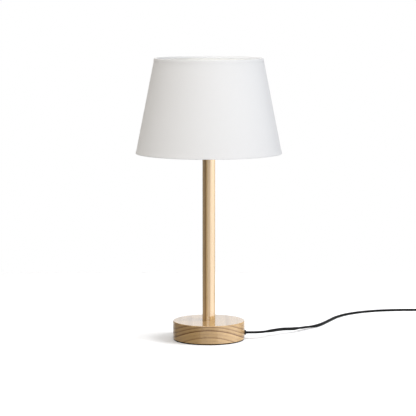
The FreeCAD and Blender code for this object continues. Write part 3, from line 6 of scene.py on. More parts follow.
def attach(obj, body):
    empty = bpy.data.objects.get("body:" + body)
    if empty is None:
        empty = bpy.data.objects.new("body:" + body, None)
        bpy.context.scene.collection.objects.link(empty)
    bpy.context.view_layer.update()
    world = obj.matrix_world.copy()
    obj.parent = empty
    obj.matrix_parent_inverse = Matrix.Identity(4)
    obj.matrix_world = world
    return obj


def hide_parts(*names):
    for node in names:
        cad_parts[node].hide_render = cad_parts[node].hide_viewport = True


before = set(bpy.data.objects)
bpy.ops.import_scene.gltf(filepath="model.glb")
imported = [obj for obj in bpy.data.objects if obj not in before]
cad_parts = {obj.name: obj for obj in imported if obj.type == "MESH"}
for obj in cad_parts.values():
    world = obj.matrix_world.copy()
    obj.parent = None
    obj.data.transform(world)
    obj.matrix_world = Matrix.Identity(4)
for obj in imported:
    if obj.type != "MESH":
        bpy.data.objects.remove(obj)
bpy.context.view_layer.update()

# Studio: a table covered with white paper in a light tent, as for a catalogue picture. The tent is
# bright in front and low at the right, softer above and behind, and dark at the left. A card of
# light stands at the right, with a flag that keeps it off the shade.

# Camera, 3.4 m in front of the lamp and 615 mm up, tipped down by 6.5 degrees.
CAMERA_LENS = 172.4
CAMERA_SENSOR = 36.0
CAMERA_PLACE = (-0.0014, -3.3871, 0.6152)
CAMERA_TIP = 0.1141
camera = bpy.data.objects.new("camera", bpy.data.cameras.new("camera"))
bpy.context.scene.collection.objects.link(camera)
camera.data.lens = CAMERA_LENS
camera.data.sensor_width = CAMERA_SENSOR
camera.location = CAMERA_PLACE
camera.rotation_euler = (math.pi / 2 - CAMERA_TIP, 0, 0)
bpy.context.scene.camera = camera
bpy.context.scene.view_settings.view_transform = "Standard"


def node(tree, kind, *links, **settings):
    """A node whose first inputs are linked or set in order; other settings are its properties."""
    made = tree.nodes.new("ShaderNode" + kind)
    for setting, value in settings.items():
        setattr(made, setting, value)
    for socket, source in enumerate(links):
        if source is None:
            continue
        if isinstance(source, bpy.types.NodeSocket):
            tree.links.new(source, made.inputs[socket])
        else:
            made.inputs[socket].default_value = source
    return made


def maths(tree, operation, *links):
    """The result of a Math node."""
    return node(tree, "Math", *links, operation=operation).outputs[0]


def stepped(tree, place, stops, way="LINEAR"):
    """A level that follows (place, level) stops, each level from 0 to 1."""
    ramp = node(tree, "ValToRGB", place)
    ramp.color_ramp.interpolation = way
    ends = ramp.color_ramp.elements
    for end, (position, level) in ((ends[0], stops[0]), (ends[1], stops[-1])):
        end.position = position
        end.color = (level, level, level, 1)
    for position, level in stops[1:-1]:
        ramp.color_ramp.elements.new(position).color = (level, level, level, 1)
    return ramp.outputs[0]


def blend_colour(tree, share, first, second):
    """A mix of two colours by a share."""
    mixed = node(tree, "Mix", data_type="RGBA")
    for socket, source in ((0, share), (6, first), (7, second)):
        if isinstance(source, bpy.types.NodeSocket):
            tree.links.new(source, mixed.inputs[socket])
        else:
            mixed.inputs[socket].default_value = source
    return mixed.outputs[2]


# Levels of light round the tent, low down and on its walls, by degrees from the front to the right.
TENT_LOW = [
    (-180, 0.30), (-150, 0.30), (-140, 0.02), (-122, 0.10), (-70, 0.07), (-58, 0.02), (-30, 0.02),
    (-24, 0.42), (25, 0.46), (34, 0.98), (80, 0.98), (100, 0.80), (115, 0.36), (140, 0.13),
    (150, 0.30), (180, 0.30),
]
TENT_SIDES = [
    (-180, 0.27), (-168, 0.27), (-160, 0.06), (-145, 0.08), (-120, 0.02), (-43, 0.02), (-21, 1.0),
    (0, 0.66), (18, 0.03), (160, 0.02), (168, 0.27), (180, 0.27),
]
# Share of the warm tint, by the same degrees.
WARM_SIDE = [(-180, 0), (-144, 1), (-21.6, 1), (-3.6, 0)]
# Share of each band of the tent, by degrees above the level.
LOW_BAND = [(-24, 0), (-20, 1), (1, 1), (3, 0)]
SIDE_BAND = [(1, 0), (3, 1), (48, 1), (52, 0)]
TOP_BAND = [(48, 0), (52, 1)]
TENT_LIGHT = 3.0
TENT_TOP = 0.61
TENT_FILL = 0.04
COOL_TINT = (0.975, 0.986, 1, 1)
WARM_TINT = (1, 0.946, 0.86, 1)

world = bpy.data.worlds.new("light_tent")
bpy.context.scene.world = world
world.use_nodes = True
tent = world.node_tree


def along_tent(place, span, levels):
    """A level that follows (degrees, level) pairs over a span of degrees with zero at its middle."""
    return stepped(tent, place, [(degrees / span + 0.5, level) for degrees, level in levels])


# A direction's turn and rise, each as a share of its whole span.
facing = node(tent, "SeparateXYZ", node(tent, "TexCoord").outputs["Generated"])
turn = maths(tent, "ARCTAN2", facing.outputs[0], maths(tent, "MULTIPLY", facing.outputs[1], -1.0))
turn = maths(tent, "MULTIPLY_ADD", turn, 0.5 / math.pi, 0.5)
rise = maths(tent, "MULTIPLY_ADD", maths(tent, "ARCSINE", facing.outputs[2]), 1 / math.pi, 0.5)
tent_light = TENT_FILL
for levels, band in ((TENT_LOW, LOW_BAND), (TENT_SIDES, SIDE_BAND)):
    part = along_tent(turn, 360, levels)
    tent_light = maths(tent, "MULTIPLY_ADD", part, along_tent(rise, 180, band), tent_light)
tent_light = maths(tent, "MULTIPLY_ADD", along_tent(rise, 180, TOP_BAND), TENT_TOP, tent_light)
tint = blend_colour(tent, along_tent(turn, 360, WARM_SIDE), COOL_TINT, WARM_TINT)
cloth_light = tent.nodes["Background"]
tent.links.new(tint, cloth_light.inputs["Color"])
tent.links.new(maths(tent, "MULTIPLY", tent_light, TENT_LIGHT), cloth_light.inputs["Strength"])
seen = node(tent, "LightPath").outputs["Is Camera Ray"]
backdrop = node(tent, "Background", (1, 1, 1, 1), 1.0)
either = node(tent, "MixShader", seen, cloth_light.outputs[0], backdrop.outputs[0])
tent.links.new(either.outputs[0], tent.nodes["World Output"].inputs["Surface"])

# Card of light; its flag lets it reach only what is linked to below_flag.
CARD_PLACE = (1.16, -0.33, 0.94)
CARD_AIM = (0, 0, 0.05)
CARD_WIDE = 0.9
CARD_TALL = 0.7
CARD_POWER = 26
card = bpy.data.objects.new("right_card", bpy.data.lights.new("right_card", "AREA"))
bpy.context.scene.collection.objects.link(card)
card.data.shape = "RECTANGLE"
card.data.size = CARD_WIDE
card.data.size_y = CARD_TALL
card.data.energy = CARD_POWER
card.location = CARD_PLACE
card.rotation_euler = (Vector(CARD_AIM) - Vector(CARD_PLACE)).to_track_quat("-Z", "Y").to_euler()
card.visible_camera = False
card.visible_glossy = False
below_flag = bpy.data.collections.new("below_flag")
card.light_linking.receiver_collection = below_flag
card.light_linking.blocker_collection = below_flag


def group(name, inputs, outputs):
    """An empty shader group; inputs and outputs are {name: kind} or {name: (kind, value)}."""
    tree = bpy.data.node_groups.new(name, "ShaderNodeTree")
    for way, sockets in (("INPUT", inputs), ("OUTPUT", outputs)):
        for socket, kind in sockets.items():
            kind, value = kind if isinstance(kind, tuple) else (kind, None)
            made = tree.interface.new_socket(name=socket, in_out=way, socket_type="NodeSocket" + kind)
            if value is not None:
                made.default_value = value
    return tree, tree.nodes.new("NodeGroupInput"), tree.nodes.new("NodeGroupOutput")


def noise(tree, place, spots, detail, roughness):
    """Noise between 0 and 1 at a place, with so many spots to each unit of length."""
    return node(tree, "TexNoise", place, None, spots, detail, roughness).outputs["Fac"]


# What every effect gives to a material.
EFFECT = {"Colour": "Color", "Roughness": "Float", "Height": "Float"}
# How far the gloss wanders with the mottle and with the grain.
MOTTLE_GLOSS = 0.25
GRAIN_GLOSS = 0.08


def grained_effect():
    """A fine even grain, as on paper, plastic, paint and plate, mottled with a second colour."""
    tree, given, gives = group(
        "grained",
        {
            "Colour": "Color", "Mottle": "Color", "Mottled": ("Float", 0.3), "Spread": ("Float", 30.0),
            "Gloss": ("Float", 0.4), "Grain": ("Float", 1200.0),
        },
        EFFECT,
    )
    place = node(tree, "TexCoord").outputs["Object"]
    fine = noise(tree, place, given.outputs["Grain"], 3.0, 0.6)
    broad = noise(tree, place, given.outputs["Spread"], 4.0, 0.6)
    share = maths(tree, "MULTIPLY", broad, given.outputs["Mottled"])
    mottled = blend_colour(tree, share, given.outputs["Colour"], given.outputs["Mottle"])
    uneven = maths(tree, "SUBTRACT", broad, 0.5)
    rubbed = maths(tree, "MULTIPLY_ADD", uneven, MOTTLE_GLOSS, given.outputs["Gloss"])
    tree.links.new(mottled, gives.inputs["Colour"])
    tree.links.new(maths(tree, "MULTIPLY_ADD", fine, GRAIN_GLOSS, rubbed), gives.inputs["Roughness"])
    tree.links.new(fine, gives.inputs["Height"])
    return tree


MM = 0.001


def surface(name, effect, relief, given, **sockets):
    """A material with an effect's colour, roughness and relief in mm; the rest is set on its shader."""
    finish = bpy.data.materials.new(name)
    finish.use_nodes = True
    tree = finish.node_tree
    shader = tree.nodes["Principled BSDF"]
    for socket, value in sockets.items():
        shader.inputs[socket.replace("_", " ")].default_value = value
    worked = node(tree, "Group", node_tree=effect)
    for socket, value in given.items():
        worked.inputs[socket].default_value = value
    tree.links.new(worked.outputs["Colour"], shader.inputs["Base Color"])
    tree.links.new(worked.outputs["Roughness"], shader.inputs["Roughness"])
    rough = node(tree, "Bump")
    rough.inputs["Distance"].default_value = relief * MM
    tree.links.new(worked.outputs["Height"], rough.inputs["Height"])
    tree.links.new(rough.outputs[0], shader.inputs["Normal"])
    return finish


GRAINED = grained_effect()


def grained(name, colour, mottle, mottled, spread, gloss, grain, relief, **sockets):
    """A material with the grained effect."""
    given = {
        "Colour": (*colour, 1), "Mottle": (*mottle, 1), "Mottled": mottled, "Spread": spread,
        "Gloss": gloss, "Grain": grain,
    }
    return surface(name, GRAINED, relief, given, **sockets)


# Table, covered with paper.
paper = grained(
    "table_paper", (0.75, 0.757, 0.775), (0.73, 0.737, 0.755),
    mottled=0.5, spread=4.0, gloss=0.85, grain=900.0, relief=0.02, Specular_IOR_Level=0.0,
)
TABLE_REACH = 0.9
TABLE_BACK = 0.78
BELOW_PAD = 0.2 * MM
table_corners = [
    (-TABLE_REACH, -TABLE_REACH, 0), (TABLE_REACH, -TABLE_REACH, 0),
    (TABLE_REACH, TABLE_BACK, 0), (-TABLE_REACH, TABLE_BACK, 0),
]
table_mesh = bpy.data.meshes.new("table_paper")
table_mesh.from_pydata(table_corners, [], [(0, 1, 2, 3)])
table_mesh.materials.append(paper)
table = bpy.data.objects.new("table_paper", table_mesh)
table.location.z = -BELOW_PAD
bpy.context.scene.collection.objects.link(table)
table.visible_diffuse = False
table.visible_glossy = False
below_flag.objects.link(table)

# Base: a disc turned from an ash board, 123 mm across and 31 mm thick, hollowed from below and
# lacquered. The board's grain runs from front to back, so its rings show as arches on the front.


def eased(corners, steps=4):
    """A closed outline of (radius, height, rounding) corners in millimetres, each corner rounded."""
    points = []
    count = len(corners)
    for i, (radius, height, rounding) in enumerate(corners):
        corner = Vector((radius, height))
        if not rounding:
            points.append(corner)
            continue
        inward = (Vector(corners[i - 1][:2]) - corner).normalized()
        outward = (Vector(corners[(i + 1) % count][:2]) - corner).normalized()
        half = inward.angle(outward) / 2
        reach = rounding / math.tan(half)
        centre = corner + (inward + outward).normalized() * rounding / math.sin(half)
        start = corner + inward * reach - centre
        end = corner + outward * reach - centre
        sweep = start.angle_signed(end)
        points += [centre + Matrix.Rotation(-sweep * step / steps, 2) @ start for step in range(steps + 1)]
    return points


SHARP_ANGLE = math.radians(35)


def rings_mesh(name, rings, closed=True):
    """A smooth mesh through equal closed rings of points, with creases where it turns sharply."""
    count = len(rings[0])
    corners = [point for ring in rings for point in ring]
    faces = []
    for i in range(len(rings) - (0 if closed else 1)):
        here = i * count
        there = (i + 1) % len(rings) * count
        for j in range(count):
            k = (j + 1) % count
            faces.append((here + j, here + k, there + k, there + j))
    if not closed:
        faces.append(tuple(range(count))[::-1])
        faces.append(tuple(range(len(corners) - count, len(corners))))
    mesh = bpy.data.meshes.new(name)
    mesh.from_pydata(corners, [], faces)
    mesh.shade_smooth()
    mesh.set_sharp_from_angle(angle=SHARP_ANGLE)
    return mesh


def turned(name, outline, sides):
    """A mesh turned about the lamp's axis from a closed outline in millimetres."""
    rings = []
    for side in range(sides):
        angle = 2 * math.pi * side / sides
        rings.append([(r * math.cos(angle) * MM, r * math.sin(angle) * MM, z * MM) for r, z in outline])
    return rings_mesh(name, rings)


def new_piece(name, mesh, body, finish, slot, *replaced):
    """A new piece that rides on a body, in one finish, and stands for CAD nodes."""
    piece = bpy.data.objects.new(name, mesh)
    bpy.context.scene.collection.objects.link(piece)
    mesh.materials.append(finish)
    piece.modifiers.new("even_normals", "WEIGHTED_NORMAL").keep_sharp = True
    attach(piece, body)
    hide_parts(*replaced)
    return piece


def stretch(tree, place, factors):
    """A place with each of its directions stretched."""
    return node(tree, "VectorMath", place, factors, operation="MULTIPLY").outputs[0]


# Counts to the metre of the wood's features, across its grain, and a pore's share of its place.
WAVERS = 22.0
FIBRES = 1400.0
FIBRE_BANDS = 170.0
PORES = 1500.0
PORE_SIZE = 0.28
# Darkness through one year's ring, from its early wood to its late wood.
SEASON = [(0.0, 0.25), (0.06, 1.0), (0.16, 0.78), (0.42, 0.32), (0.85, 0.06), (1.0, 0.25)]
# Least strength of a year's early wood, and how much more it may have.
YEAR_LEAST = 0.12
YEAR_MORE = 0.92
# What bands, pores and a level face do to the darkness; a level face's paler rings are partly painted
# sheen.
BAND_DARK = 1.6
PORE_DARK = 0.2
FACE_SHEEN_PALING = -0.55
# Heights of pores and fibres, as shares of the relief.
PORE_HEIGHT = -0.8
FIBRE_HEIGHT = 0.25
# Roughness under the lacquer of pale wood, and what dark wood adds.
ASH_ROUGH = 0.26
ASH_ROUGH_DARK = 0.12


def wood_effect():
    """Ash whose fibres run along Z after a turn, with rings about its pith and pores in early wood."""
    tree, given, gives = group(
        "ash_grain",
        {
            "Turn": "Vector", "Pith": "Vector", "Ring": "Float", "Waver": "Float", "Light": "Color",
            "Dark": "Color", "Contrast": ("Float", 1.0), "Figure": ("Float", 0.3),
            "Soaked": ("Float", 0.0), "Board": ("Float", 0.0),
        },
        {**EFFECT, "Coat": "Float"},
    )
    given = given.outputs
    place = node(tree, "TexCoord").outputs["Object"]
    place = node(tree, "Mapping", place, None, given["Turn"]).outputs[0]
    # Rings, counted from the pith outward, each with early wood of its own strength.
    waver = noise(tree, stretch(tree, place, (1, 1, 0.12)), WAVERS, 2.0, 0.5)
    from_pith = node(tree, "VectorMath", place, given["Pith"], operation="SUBTRACT").outputs[0]
    level_way = stretch(tree, from_pith, (1, 1, 0))
    radius = node(tree, "VectorMath", level_way, operation="LENGTH").outputs["Value"]
    wavering = maths(tree, "MULTIPLY_ADD", waver, given["Waver"], radius)
    count = maths(tree, "DIVIDE", wavering, given["Ring"])
    early = stepped(tree, maths(tree, "FRACT", count), SEASON, "EASE")
    own = node(tree, "TexWhiteNoise", noise_dimensions="1D")
    tree.links.new(maths(tree, "ADD", maths(tree, "FLOOR", count), given["Board"]), own.inputs["W"])
    strong = maths(tree, "MULTIPLY_ADD", own.outputs["Value"], YEAR_MORE, YEAR_LEAST)
    ring = maths(tree, "MULTIPLY", early, strong)
    # Fibres, bands of fibres and pores, drawn out along the grain.
    fibre = noise(tree, stretch(tree, place, (1, 1, 0.02)), FIBRES, 3.0, 0.6)
    band = noise(tree, stretch(tree, place, (1, 1, 0.03)), FIBRE_BANDS, 2.0, 0.5)
    pores = node(tree, "TexVoronoi", stretch(tree, place, (1, 1, 0.06)), None, PORES)
    pore = maths(tree, "MULTIPLY", maths(tree, "LESS_THAN", pores.outputs["Distance"], PORE_SIZE), ring)
    tone = maths(tree, "MULTIPLY_ADD", maths(tree, "SUBTRACT", fibre, 0.5), given["Figure"], ring)
    banded = maths(tree, "MULTIPLY", given["Figure"], BAND_DARK)
    tone = maths(tree, "MULTIPLY_ADD", maths(tree, "SUBTRACT", band, 0.5), banded, tone)
    tone = maths(tree, "MULTIPLY_ADD", pore, PORE_DARK, tone)
    # Upright end grain soaks up lacquer and loses gloss; a level face's rings are paled, partly as painted
    # sheen.
    normal = node(tree, "SeparateXYZ", node(tree, "NewGeometry").outputs["Normal"])
    level = maths(tree, "ABSOLUTE", normal.outputs[2])
    # Painted sheen: level faces lose ring darkness, as the lacquer's reflection would wash it out there.
    sheen_paled = maths(tree, "MULTIPLY", maths(tree, "MULTIPLY", level, given["Soaked"]), FACE_SHEEN_PALING)
    tone = maths(tree, "MULTIPLY_ADD", tone, sheen_paled, tone)
    tone = node(tree, "Clamp", maths(tree, "MULTIPLY", tone, given["Contrast"])).outputs[0]
    dull = maths(tree, "MULTIPLY", maths(tree, "SUBTRACT", 1.0, level), given["Soaked"])
    raised = maths(tree, "MULTIPLY", fibre, FIBRE_HEIGHT)
    relief = maths(tree, "MULTIPLY_ADD", pore, PORE_HEIGHT, raised)
    rough = maths(tree, "MULTIPLY_ADD", tone, ASH_ROUGH_DARK, ASH_ROUGH)
    tree.links.new(blend_colour(tree, tone, given["Light"], given["Dark"]), gives.inputs["Colour"])
    tree.links.new(rough, gives.inputs["Roughness"])
    tree.links.new(relief, gives.inputs["Height"])
    tree.links.new(maths(tree, "SUBTRACT", 1.0, dull), gives.inputs["Coat"])
    return tree


ASH = wood_effect()


def lacquered_ash(name, turn, pith, ring, waver, light, dark, contrast, figure, board, soak_and_sheen=0.0):
    """A material of lacquered ash; ring and waver are in millimetres, and board picks its rings."""
    given = {
        "Turn": turn, "Pith": pith, "Ring": ring * MM, "Waver": waver * MM, "Light": (*light, 1),
        "Dark": (*dark, 1), "Contrast": contrast, "Figure": figure, "Soaked": soak_and_sheen, "Board": board,
    }
    finish = surface(name, ASH, relief=0.012, given=given, Coat_Roughness=0.04, Coat_IOR=1.8)
    tree = finish.node_tree
    tree.links.new(tree.nodes["Group"].outputs["Coat"], tree.nodes["Principled BSDF"].inputs["Coat Weight"])
    return finish


# Ash of the base; its level top gets paler rings, partly as painted sheen.
base_ash = lacquered_ash(
    "base_ash", turn=(math.pi / 2, 0, 0), pith=(0.0, 0.0765, 0), ring=5.98, waver=2.0,
    light=(0.455, 0.293, 0.132), dark=(0.16, 0.076, 0.022), contrast=1.25, figure=0.22, board=4272,
    soak_and_sheen=0.92,
)
# Sizes of the disc, its hollow and its holes, in millimetres.
DISC_RADIUS = 61.5
DISC_LOW = 1.5
DISC_HIGH = 32.5
DISC_SIDES = 256
HOLLOW_RADIUS = 50
HOLLOW_CEILING = 22.5
SPIGOT_HOLE = 8.1
SPIGOT_FLOOR = 26.4
TUBE_HOLE = 5.3
base_outline = eased([
    (HOLLOW_RADIUS, DISC_LOW, 0.3), (DISC_RADIUS, DISC_LOW, 0.8), (DISC_RADIUS, DISC_HIGH, 1.2),
    (SPIGOT_HOLE, DISC_HIGH, 0), (SPIGOT_HOLE, SPIGOT_FLOOR, 0), (TUBE_HOLE, SPIGOT_FLOOR, 0),
    (TUBE_HOLE, HOLLOW_CEILING, 0.2), (HOLLOW_RADIUS, HOLLOW_CEILING, 0.3),
])
base_mesh = turned("base_turned", base_outline, DISC_SIDES)
base = new_piece("base_turned", base_mesh, "stand", base_ash, "ash", "base_disc")
below_flag.objects.link(base)

# Ballast: a cast iron plate in the base's hollow, painted black, with a slot for the cord and its
# clamp, and three screws into the wood. A nut and a washer pull the threaded tube down.


def dress(finish, *names):
    """Give CAD nodes a material."""
    for name in names:
        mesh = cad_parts[name].data
        mesh.materials.clear()
        mesh.materials.append(finish)


cast_iron = grained(
    "cast_iron", (0.030, 0.030, 0.032), (0.085, 0.05, 0.035),
    mottled=0.35, spread=60.0, gloss=0.62, grain=420.0, relief=0.25,
)
zinc = grained(
    "zinc_plate", (0.60, 0.61, 0.60), (0.42, 0.41, 0.38),
    mottled=0.5, spread=90.0, gloss=0.26, grain=1800.0, relief=0.01, Metallic=1.0,
)
dress(cast_iron, "base_ballast")
dress(zinc, "ballast_screws", "rod_washer", "rod_nut", "threaded_tube", "cord_clamp_screws")

# Column: an ash dowel, 22 mm across and 300 mm above the base, bored for the threaded tube and
# lacquered like the base. Its rings run nearly flat through it and show as long upright stripes.
column_ash = lacquered_ash(
    "column_ash", turn=(0, 0, 0), pith=(0.055, -0.035, 0), ring=6.6, waver=1.8,
    light=(0.49, 0.325, 0.145), dark=(0.20, 0.10, 0.03), contrast=1.0, figure=0.30, board=27810,
)
# Sizes of the dowel and its spigot, in millimetres.
DOWEL_RADIUS = 11
DOWEL_LOW = 32.5
DOWEL_HIGH = 332.5
DOWEL_SIDES = 128
SPIGOT_RADIUS = 8
SPIGOT_LOW = 26.5
column_outline = eased([
    (TUBE_HOLE, SPIGOT_LOW, 0), (SPIGOT_RADIUS, SPIGOT_LOW, 0.3), (SPIGOT_RADIUS, DOWEL_LOW, 0),
    (DOWEL_RADIUS, DOWEL_LOW, 0), (DOWEL_RADIUS, DOWEL_HIGH, 0.8), (TUBE_HOLE, DOWEL_HIGH, 0.3),
])
column_mesh = turned("column_turned", column_outline, DOWEL_SIDES)
column = new_piece("column_turned", column_mesh, "stand", column_ash, "ash", "column")
below_flag.objects.link(column)

# Cord inside the base: a rubber bushing in the disc's wall, a plastic clamp that takes the pull, and
# the cord's inner stretch up through the tube to the lampholder.
rubber = grained(
    "black_rubber", (0.010, 0.010, 0.011), (0.04, 0.038, 0.036),
    mottled=0.10, spread=45.0, gloss=0.5, grain=1400.0, relief=0.03, Specular_IOR_Level=0.25,
)
black_plastic = grained(
    "black_plastic", (0.020, 0.020, 0.022), (0.07, 0.07, 0.07),
    mottled=0.10, spread=40.0, gloss=0.34, grain=1500.0, relief=0.02,
)
core_brown = grained(
    "core_brown", (0.13, 0.050, 0.022), (0.20, 0.09, 0.05),
    mottled=0.3, spread=80.0, gloss=0.35, grain=1800.0, relief=0.01,
)
cord_pvc = grained(
    "cord_pvc", (0.004, 0.004, 0.0042), (0.02, 0.02, 0.02),
    mottled=0.08, spread=60.0, gloss=0.42, grain=1700.0, relief=0.015, Specular_IOR_Level=0.16,
)
dress(rubber, "cord_bushing")
dress(black_plastic, "cord_clamp_block", "cord_clamp_bar")
dress(cord_pvc, "cord_inner")
dress(core_brown, "core_wires")
below_flag.objects.link(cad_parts["cord_bushing"])

# Base pad: a disc of black wool felt, 1.5 mm thick and nearly as wide as the base, stamped out and
# glued over the hollow in the base's underside.

# Counts to the metre of the felt's fibres, for two of the ways that they lie.
FELT_ONE_WAY = 2600.0
FELT_OTHER_WAY = 2300.0
# Where a fibre begins to show pale, and how soon it is all pale.
PALE_FROM = 0.55
PALE_STEEP = 2.4
FELT_ROUGH = 0.85
FELT_ROUGH_MORE = 0.1


def felt_effect():
    """Felt: short fibres that lie every way, with paler ones among them."""
    tree, given, gives = group("felted", {"Colour": "Color", "Fibre": "Color"}, EFFECT)
    place = node(tree, "TexCoord").outputs["Object"]
    bent = node(tree, "Mapping", place, None, (0.3, 0.2, 0.9)).outputs[0]
    one = noise(tree, stretch(tree, place, (1, 0.18, 1)), FELT_ONE_WAY, 3.0, 0.7)
    other = noise(tree, stretch(tree, bent, (0.2, 1, 0.4)), FELT_OTHER_WAY, 3.0, 0.7)
    fibres = maths(tree, "MAXIMUM", one, other)
    pale = maths(tree, "MULTIPLY", maths(tree, "SUBTRACT", fibres, PALE_FROM), PALE_STEEP)
    pale = node(tree, "Clamp", pale).outputs[0]
    mixed = blend_colour(tree, pale, given.outputs["Colour"], given.outputs["Fibre"])
    rough = maths(tree, "MULTIPLY_ADD", fibres, FELT_ROUGH_MORE, FELT_ROUGH)
    tree.links.new(mixed, gives.inputs["Colour"])
    tree.links.new(rough, gives.inputs["Roughness"])
    tree.links.new(fibres, gives.inputs["Height"])
    return tree


# Sizes of the pad, in millimetres.
PAD_RADIUS = 60.9
PAD_THICK = 1.5
PAD_EDGE = 0.35
PAD_SIDES = 192
pad_profile = [
    (PAD_RADIUS - PAD_EDGE, 0), (PAD_RADIUS, PAD_EDGE),
    (PAD_RADIUS, PAD_THICK - PAD_EDGE), (PAD_RADIUS - PAD_EDGE, PAD_THICK),
]
pad_angles = [2 * math.pi * side / PAD_SIDES for side in range(PAD_SIDES)]
pad_rings = []
for r, z in pad_profile:
    pad_rings.append([(r * math.cos(a) * MM, r * math.sin(a) * MM, z * MM) for a in pad_angles])
pad_mesh = rings_mesh("felt_pad", pad_rings, closed=False)
felt = {"Colour": (0.004, 0.004, 0.0045, 1), "Fibre": (0.022, 0.022, 0.024, 1)}
black_felt = surface("black_felt", felt_effect(), relief=0.15, given=felt, Specular_IOR_Level=0.1)
pad = new_piece("felt_pad", pad_mesh, "stand", black_felt, "felt", "base_pad")
below_flag.objects.link(pad)

# Lampholder: a moulded cap screwed on the threaded tube, a skirt with a collar that carries the
# shade, an insert with its terminals, the threaded shell and the centre contact.
white_plastic = grained(
    "white_thermoplastic", (0.80, 0.79, 0.76), (0.70, 0.68, 0.62),
    mottled=0.25, spread=35.0, gloss=0.30, grain=1500.0, relief=0.015,
)
brass = grained(
    "brass_sheet", (0.74, 0.54, 0.26), (0.52, 0.34, 0.15),
    mottled=0.45, spread=110.0, gloss=0.24, grain=1800.0, relief=0.01, Metallic=1.0,
)
nickel = grained(
    "nickel_plate", (0.70, 0.68, 0.64), (0.52, 0.49, 0.44),
    mottled=0.4, spread=100.0, gloss=0.18, grain=2000.0, relief=0.008, Metallic=1.0,
)
dress(white_plastic, "holder_cap", "holder_skirt", "holder_insert", "shade_clamp_ring")
dress(brass, "holder_terminals", "centre_contact")
dress(nickel, "holder_shell")
dress(zinc, "holder_grub_screw", "terminal_screws")

# Shade: an off-white cotton cover glued to a stiff lining, 250 mm across below, 186 mm above and
# 162 mm tall. It is cut as one sector of a ring and overlaps itself by 10 mm at the back.

# Sizes in millimetres; the slope is what the radius loses over the height.
SHADE_FOOT = 321.1
SHADE_HEIGHT = 162.0
SHADE_FOOT_RADIUS = 125.0
SHADE_SLOPE = 32 / 162
SHADE_SIDES = 360
SEAM_LAP = 10.0
SEAM_PLY = 0.25
SEAM_EDGE = 0.2
SEAM_STEPS = 4
COVER_INSET = 0.45
COVER_THICK = 0.6
COVER_END = 0.45
# How far a thread dips under the ones that cross it, as a share of its height.
THREAD_DIP = 0.4
# Thick places of a thread: how far they are drawn out, how many there are and where they begin.
SLUB_DRAWN = 0.02
SLUBS = 3.1
SLUB_FROM = 0.55
# Share of the painted shade between threads at no height, and how fast it goes as a thread rises.
GAP_SHADE_SHARE = 1.25
GAP_SHADE_STEEP = -1.3
CLOTH_ROUGH = 0.92
CLOTH_ROUGH_MORE = -0.08


def cloth_effect():
    """Plain weave on a cone laid out flat, so that its threads run straight in the cut sector."""
    tree, given, gives = group(
        "plain_weave",
        {
            "Colour": "Color", "Gap": "Color", "Thread": ("Float", 0.0005), "Apex": "Vector",
            "Sine": "Float", "Slub": ("Float", 0.3),
        },
        EFFECT,
    )
    given = given.outputs
    # Places on the flat sector, counted in threads.
    place = node(tree, "TexCoord").outputs["Object"]
    down = node(tree, "VectorMath", place, given["Apex"], operation="SUBTRACT").outputs[0]
    slant = node(tree, "VectorMath", down, operation="LENGTH").outputs["Value"]
    spot = node(tree, "SeparateXYZ", place)
    around = maths(tree, "ARCTAN2", spot.outputs[0], maths(tree, "MULTIPLY", spot.outputs[1], -1.0))
    spread = maths(tree, "MULTIPLY", around, given["Sine"])
    ways = []
    for part in ("SINE", "COSINE"):
        reach = maths(tree, "MULTIPLY", slant, maths(tree, part, spread))
        ways.append(maths(tree, "DIVIDE", reach, given["Thread"]))
    crown = []
    count = []
    for way in ways:
        middle = maths(tree, "SUBTRACT", maths(tree, "FRACT", way), 0.5)
        crown.append(maths(tree, "COSINE", maths(tree, "MULTIPLY", middle, math.pi)))
        count.append(maths(tree, "FLOOR", way))
    # Warp and weft take turns on top.
    parity = maths(tree, "FLOORED_MODULO", maths(tree, "ADD", *count), 2.0)
    warp_rise = maths(tree, "MULTIPLY_ADD", crown[1], THREAD_DIP, 1 - THREAD_DIP)
    weft_rise = maths(tree, "MULTIPLY_ADD", crown[0], THREAD_DIP, 1 - THREAD_DIP)
    warp = maths(tree, "MULTIPLY", crown[0], warp_rise)
    weft = maths(tree, "MULTIPLY", crown[1], weft_rise)
    on_top = node(tree, "Mix", parity, None, warp, weft)
    # Each thread is thick and thin along its length.
    thick = []
    for number, along_it in ((count[0], ways[1]), (count[1], ways[0])):
        drawn = maths(tree, "MULTIPLY", along_it, SLUB_DRAWN)
        thread = node(tree, "CombineXYZ", number, drawn).outputs[0]
        thick.append(noise(tree, thread, SLUBS, 2.0, 0.6))
    uneven = maths(tree, "SUBTRACT", maths(tree, "MAXIMUM", *thick), SLUB_FROM)
    height = maths(tree, "MULTIPLY_ADD", uneven, given["Slub"], on_top.outputs[0])
    # Painted shade: where a thread dips, its colour goes towards the darker gap colour.
    gap_shade_share = node(tree, "Clamp", maths(tree, "MULTIPLY_ADD", height, GAP_SHADE_STEEP, GAP_SHADE_SHARE)).outputs[0]
    rough = maths(tree, "MULTIPLY_ADD", height, CLOTH_ROUGH_MORE, CLOTH_ROUGH)
    tree.links.new(blend_colour(tree, gap_shade_share, given["Colour"], given["Gap"]), gives.inputs["Colour"])
    tree.links.new(rough, gives.inputs["Roughness"])
    tree.links.new(height, gives.inputs["Height"])
    return tree


def lapped(name, outline):
    """A mesh round the shade from (radius, height, share) points that move out by a share at its lap."""
    lap = SEAM_LAP / SHADE_FOOT_RADIUS
    edge = SEAM_EDGE / SHADE_FOOT_RADIUS
    start = math.pi / 2 - lap / 2
    rest = 2 * math.pi - lap - 2 * edge
    stations = [(start + lap * step / SEAM_STEPS, SEAM_PLY) for step in range(SEAM_STEPS + 1)]
    stations += [(start + lap + edge + rest * step / SHADE_SIDES, 0.0) for step in range(SHADE_SIDES + 1)]
    rings = []
    for angle, ply in stations:
        ring = [(r + ply * share, z) for r, z, share in outline]
        rings.append([(r * math.cos(angle) * MM, r * math.sin(angle) * MM, z * MM) for r, z in ring])
    return rings_mesh(name, rings)


def shade_wall(inset, up):
    """Radius of the shade at a height above its lower rim, that much inside its outermost surface."""
    return SHADE_FOOT_RADIUS - inset - SHADE_SLOPE * up


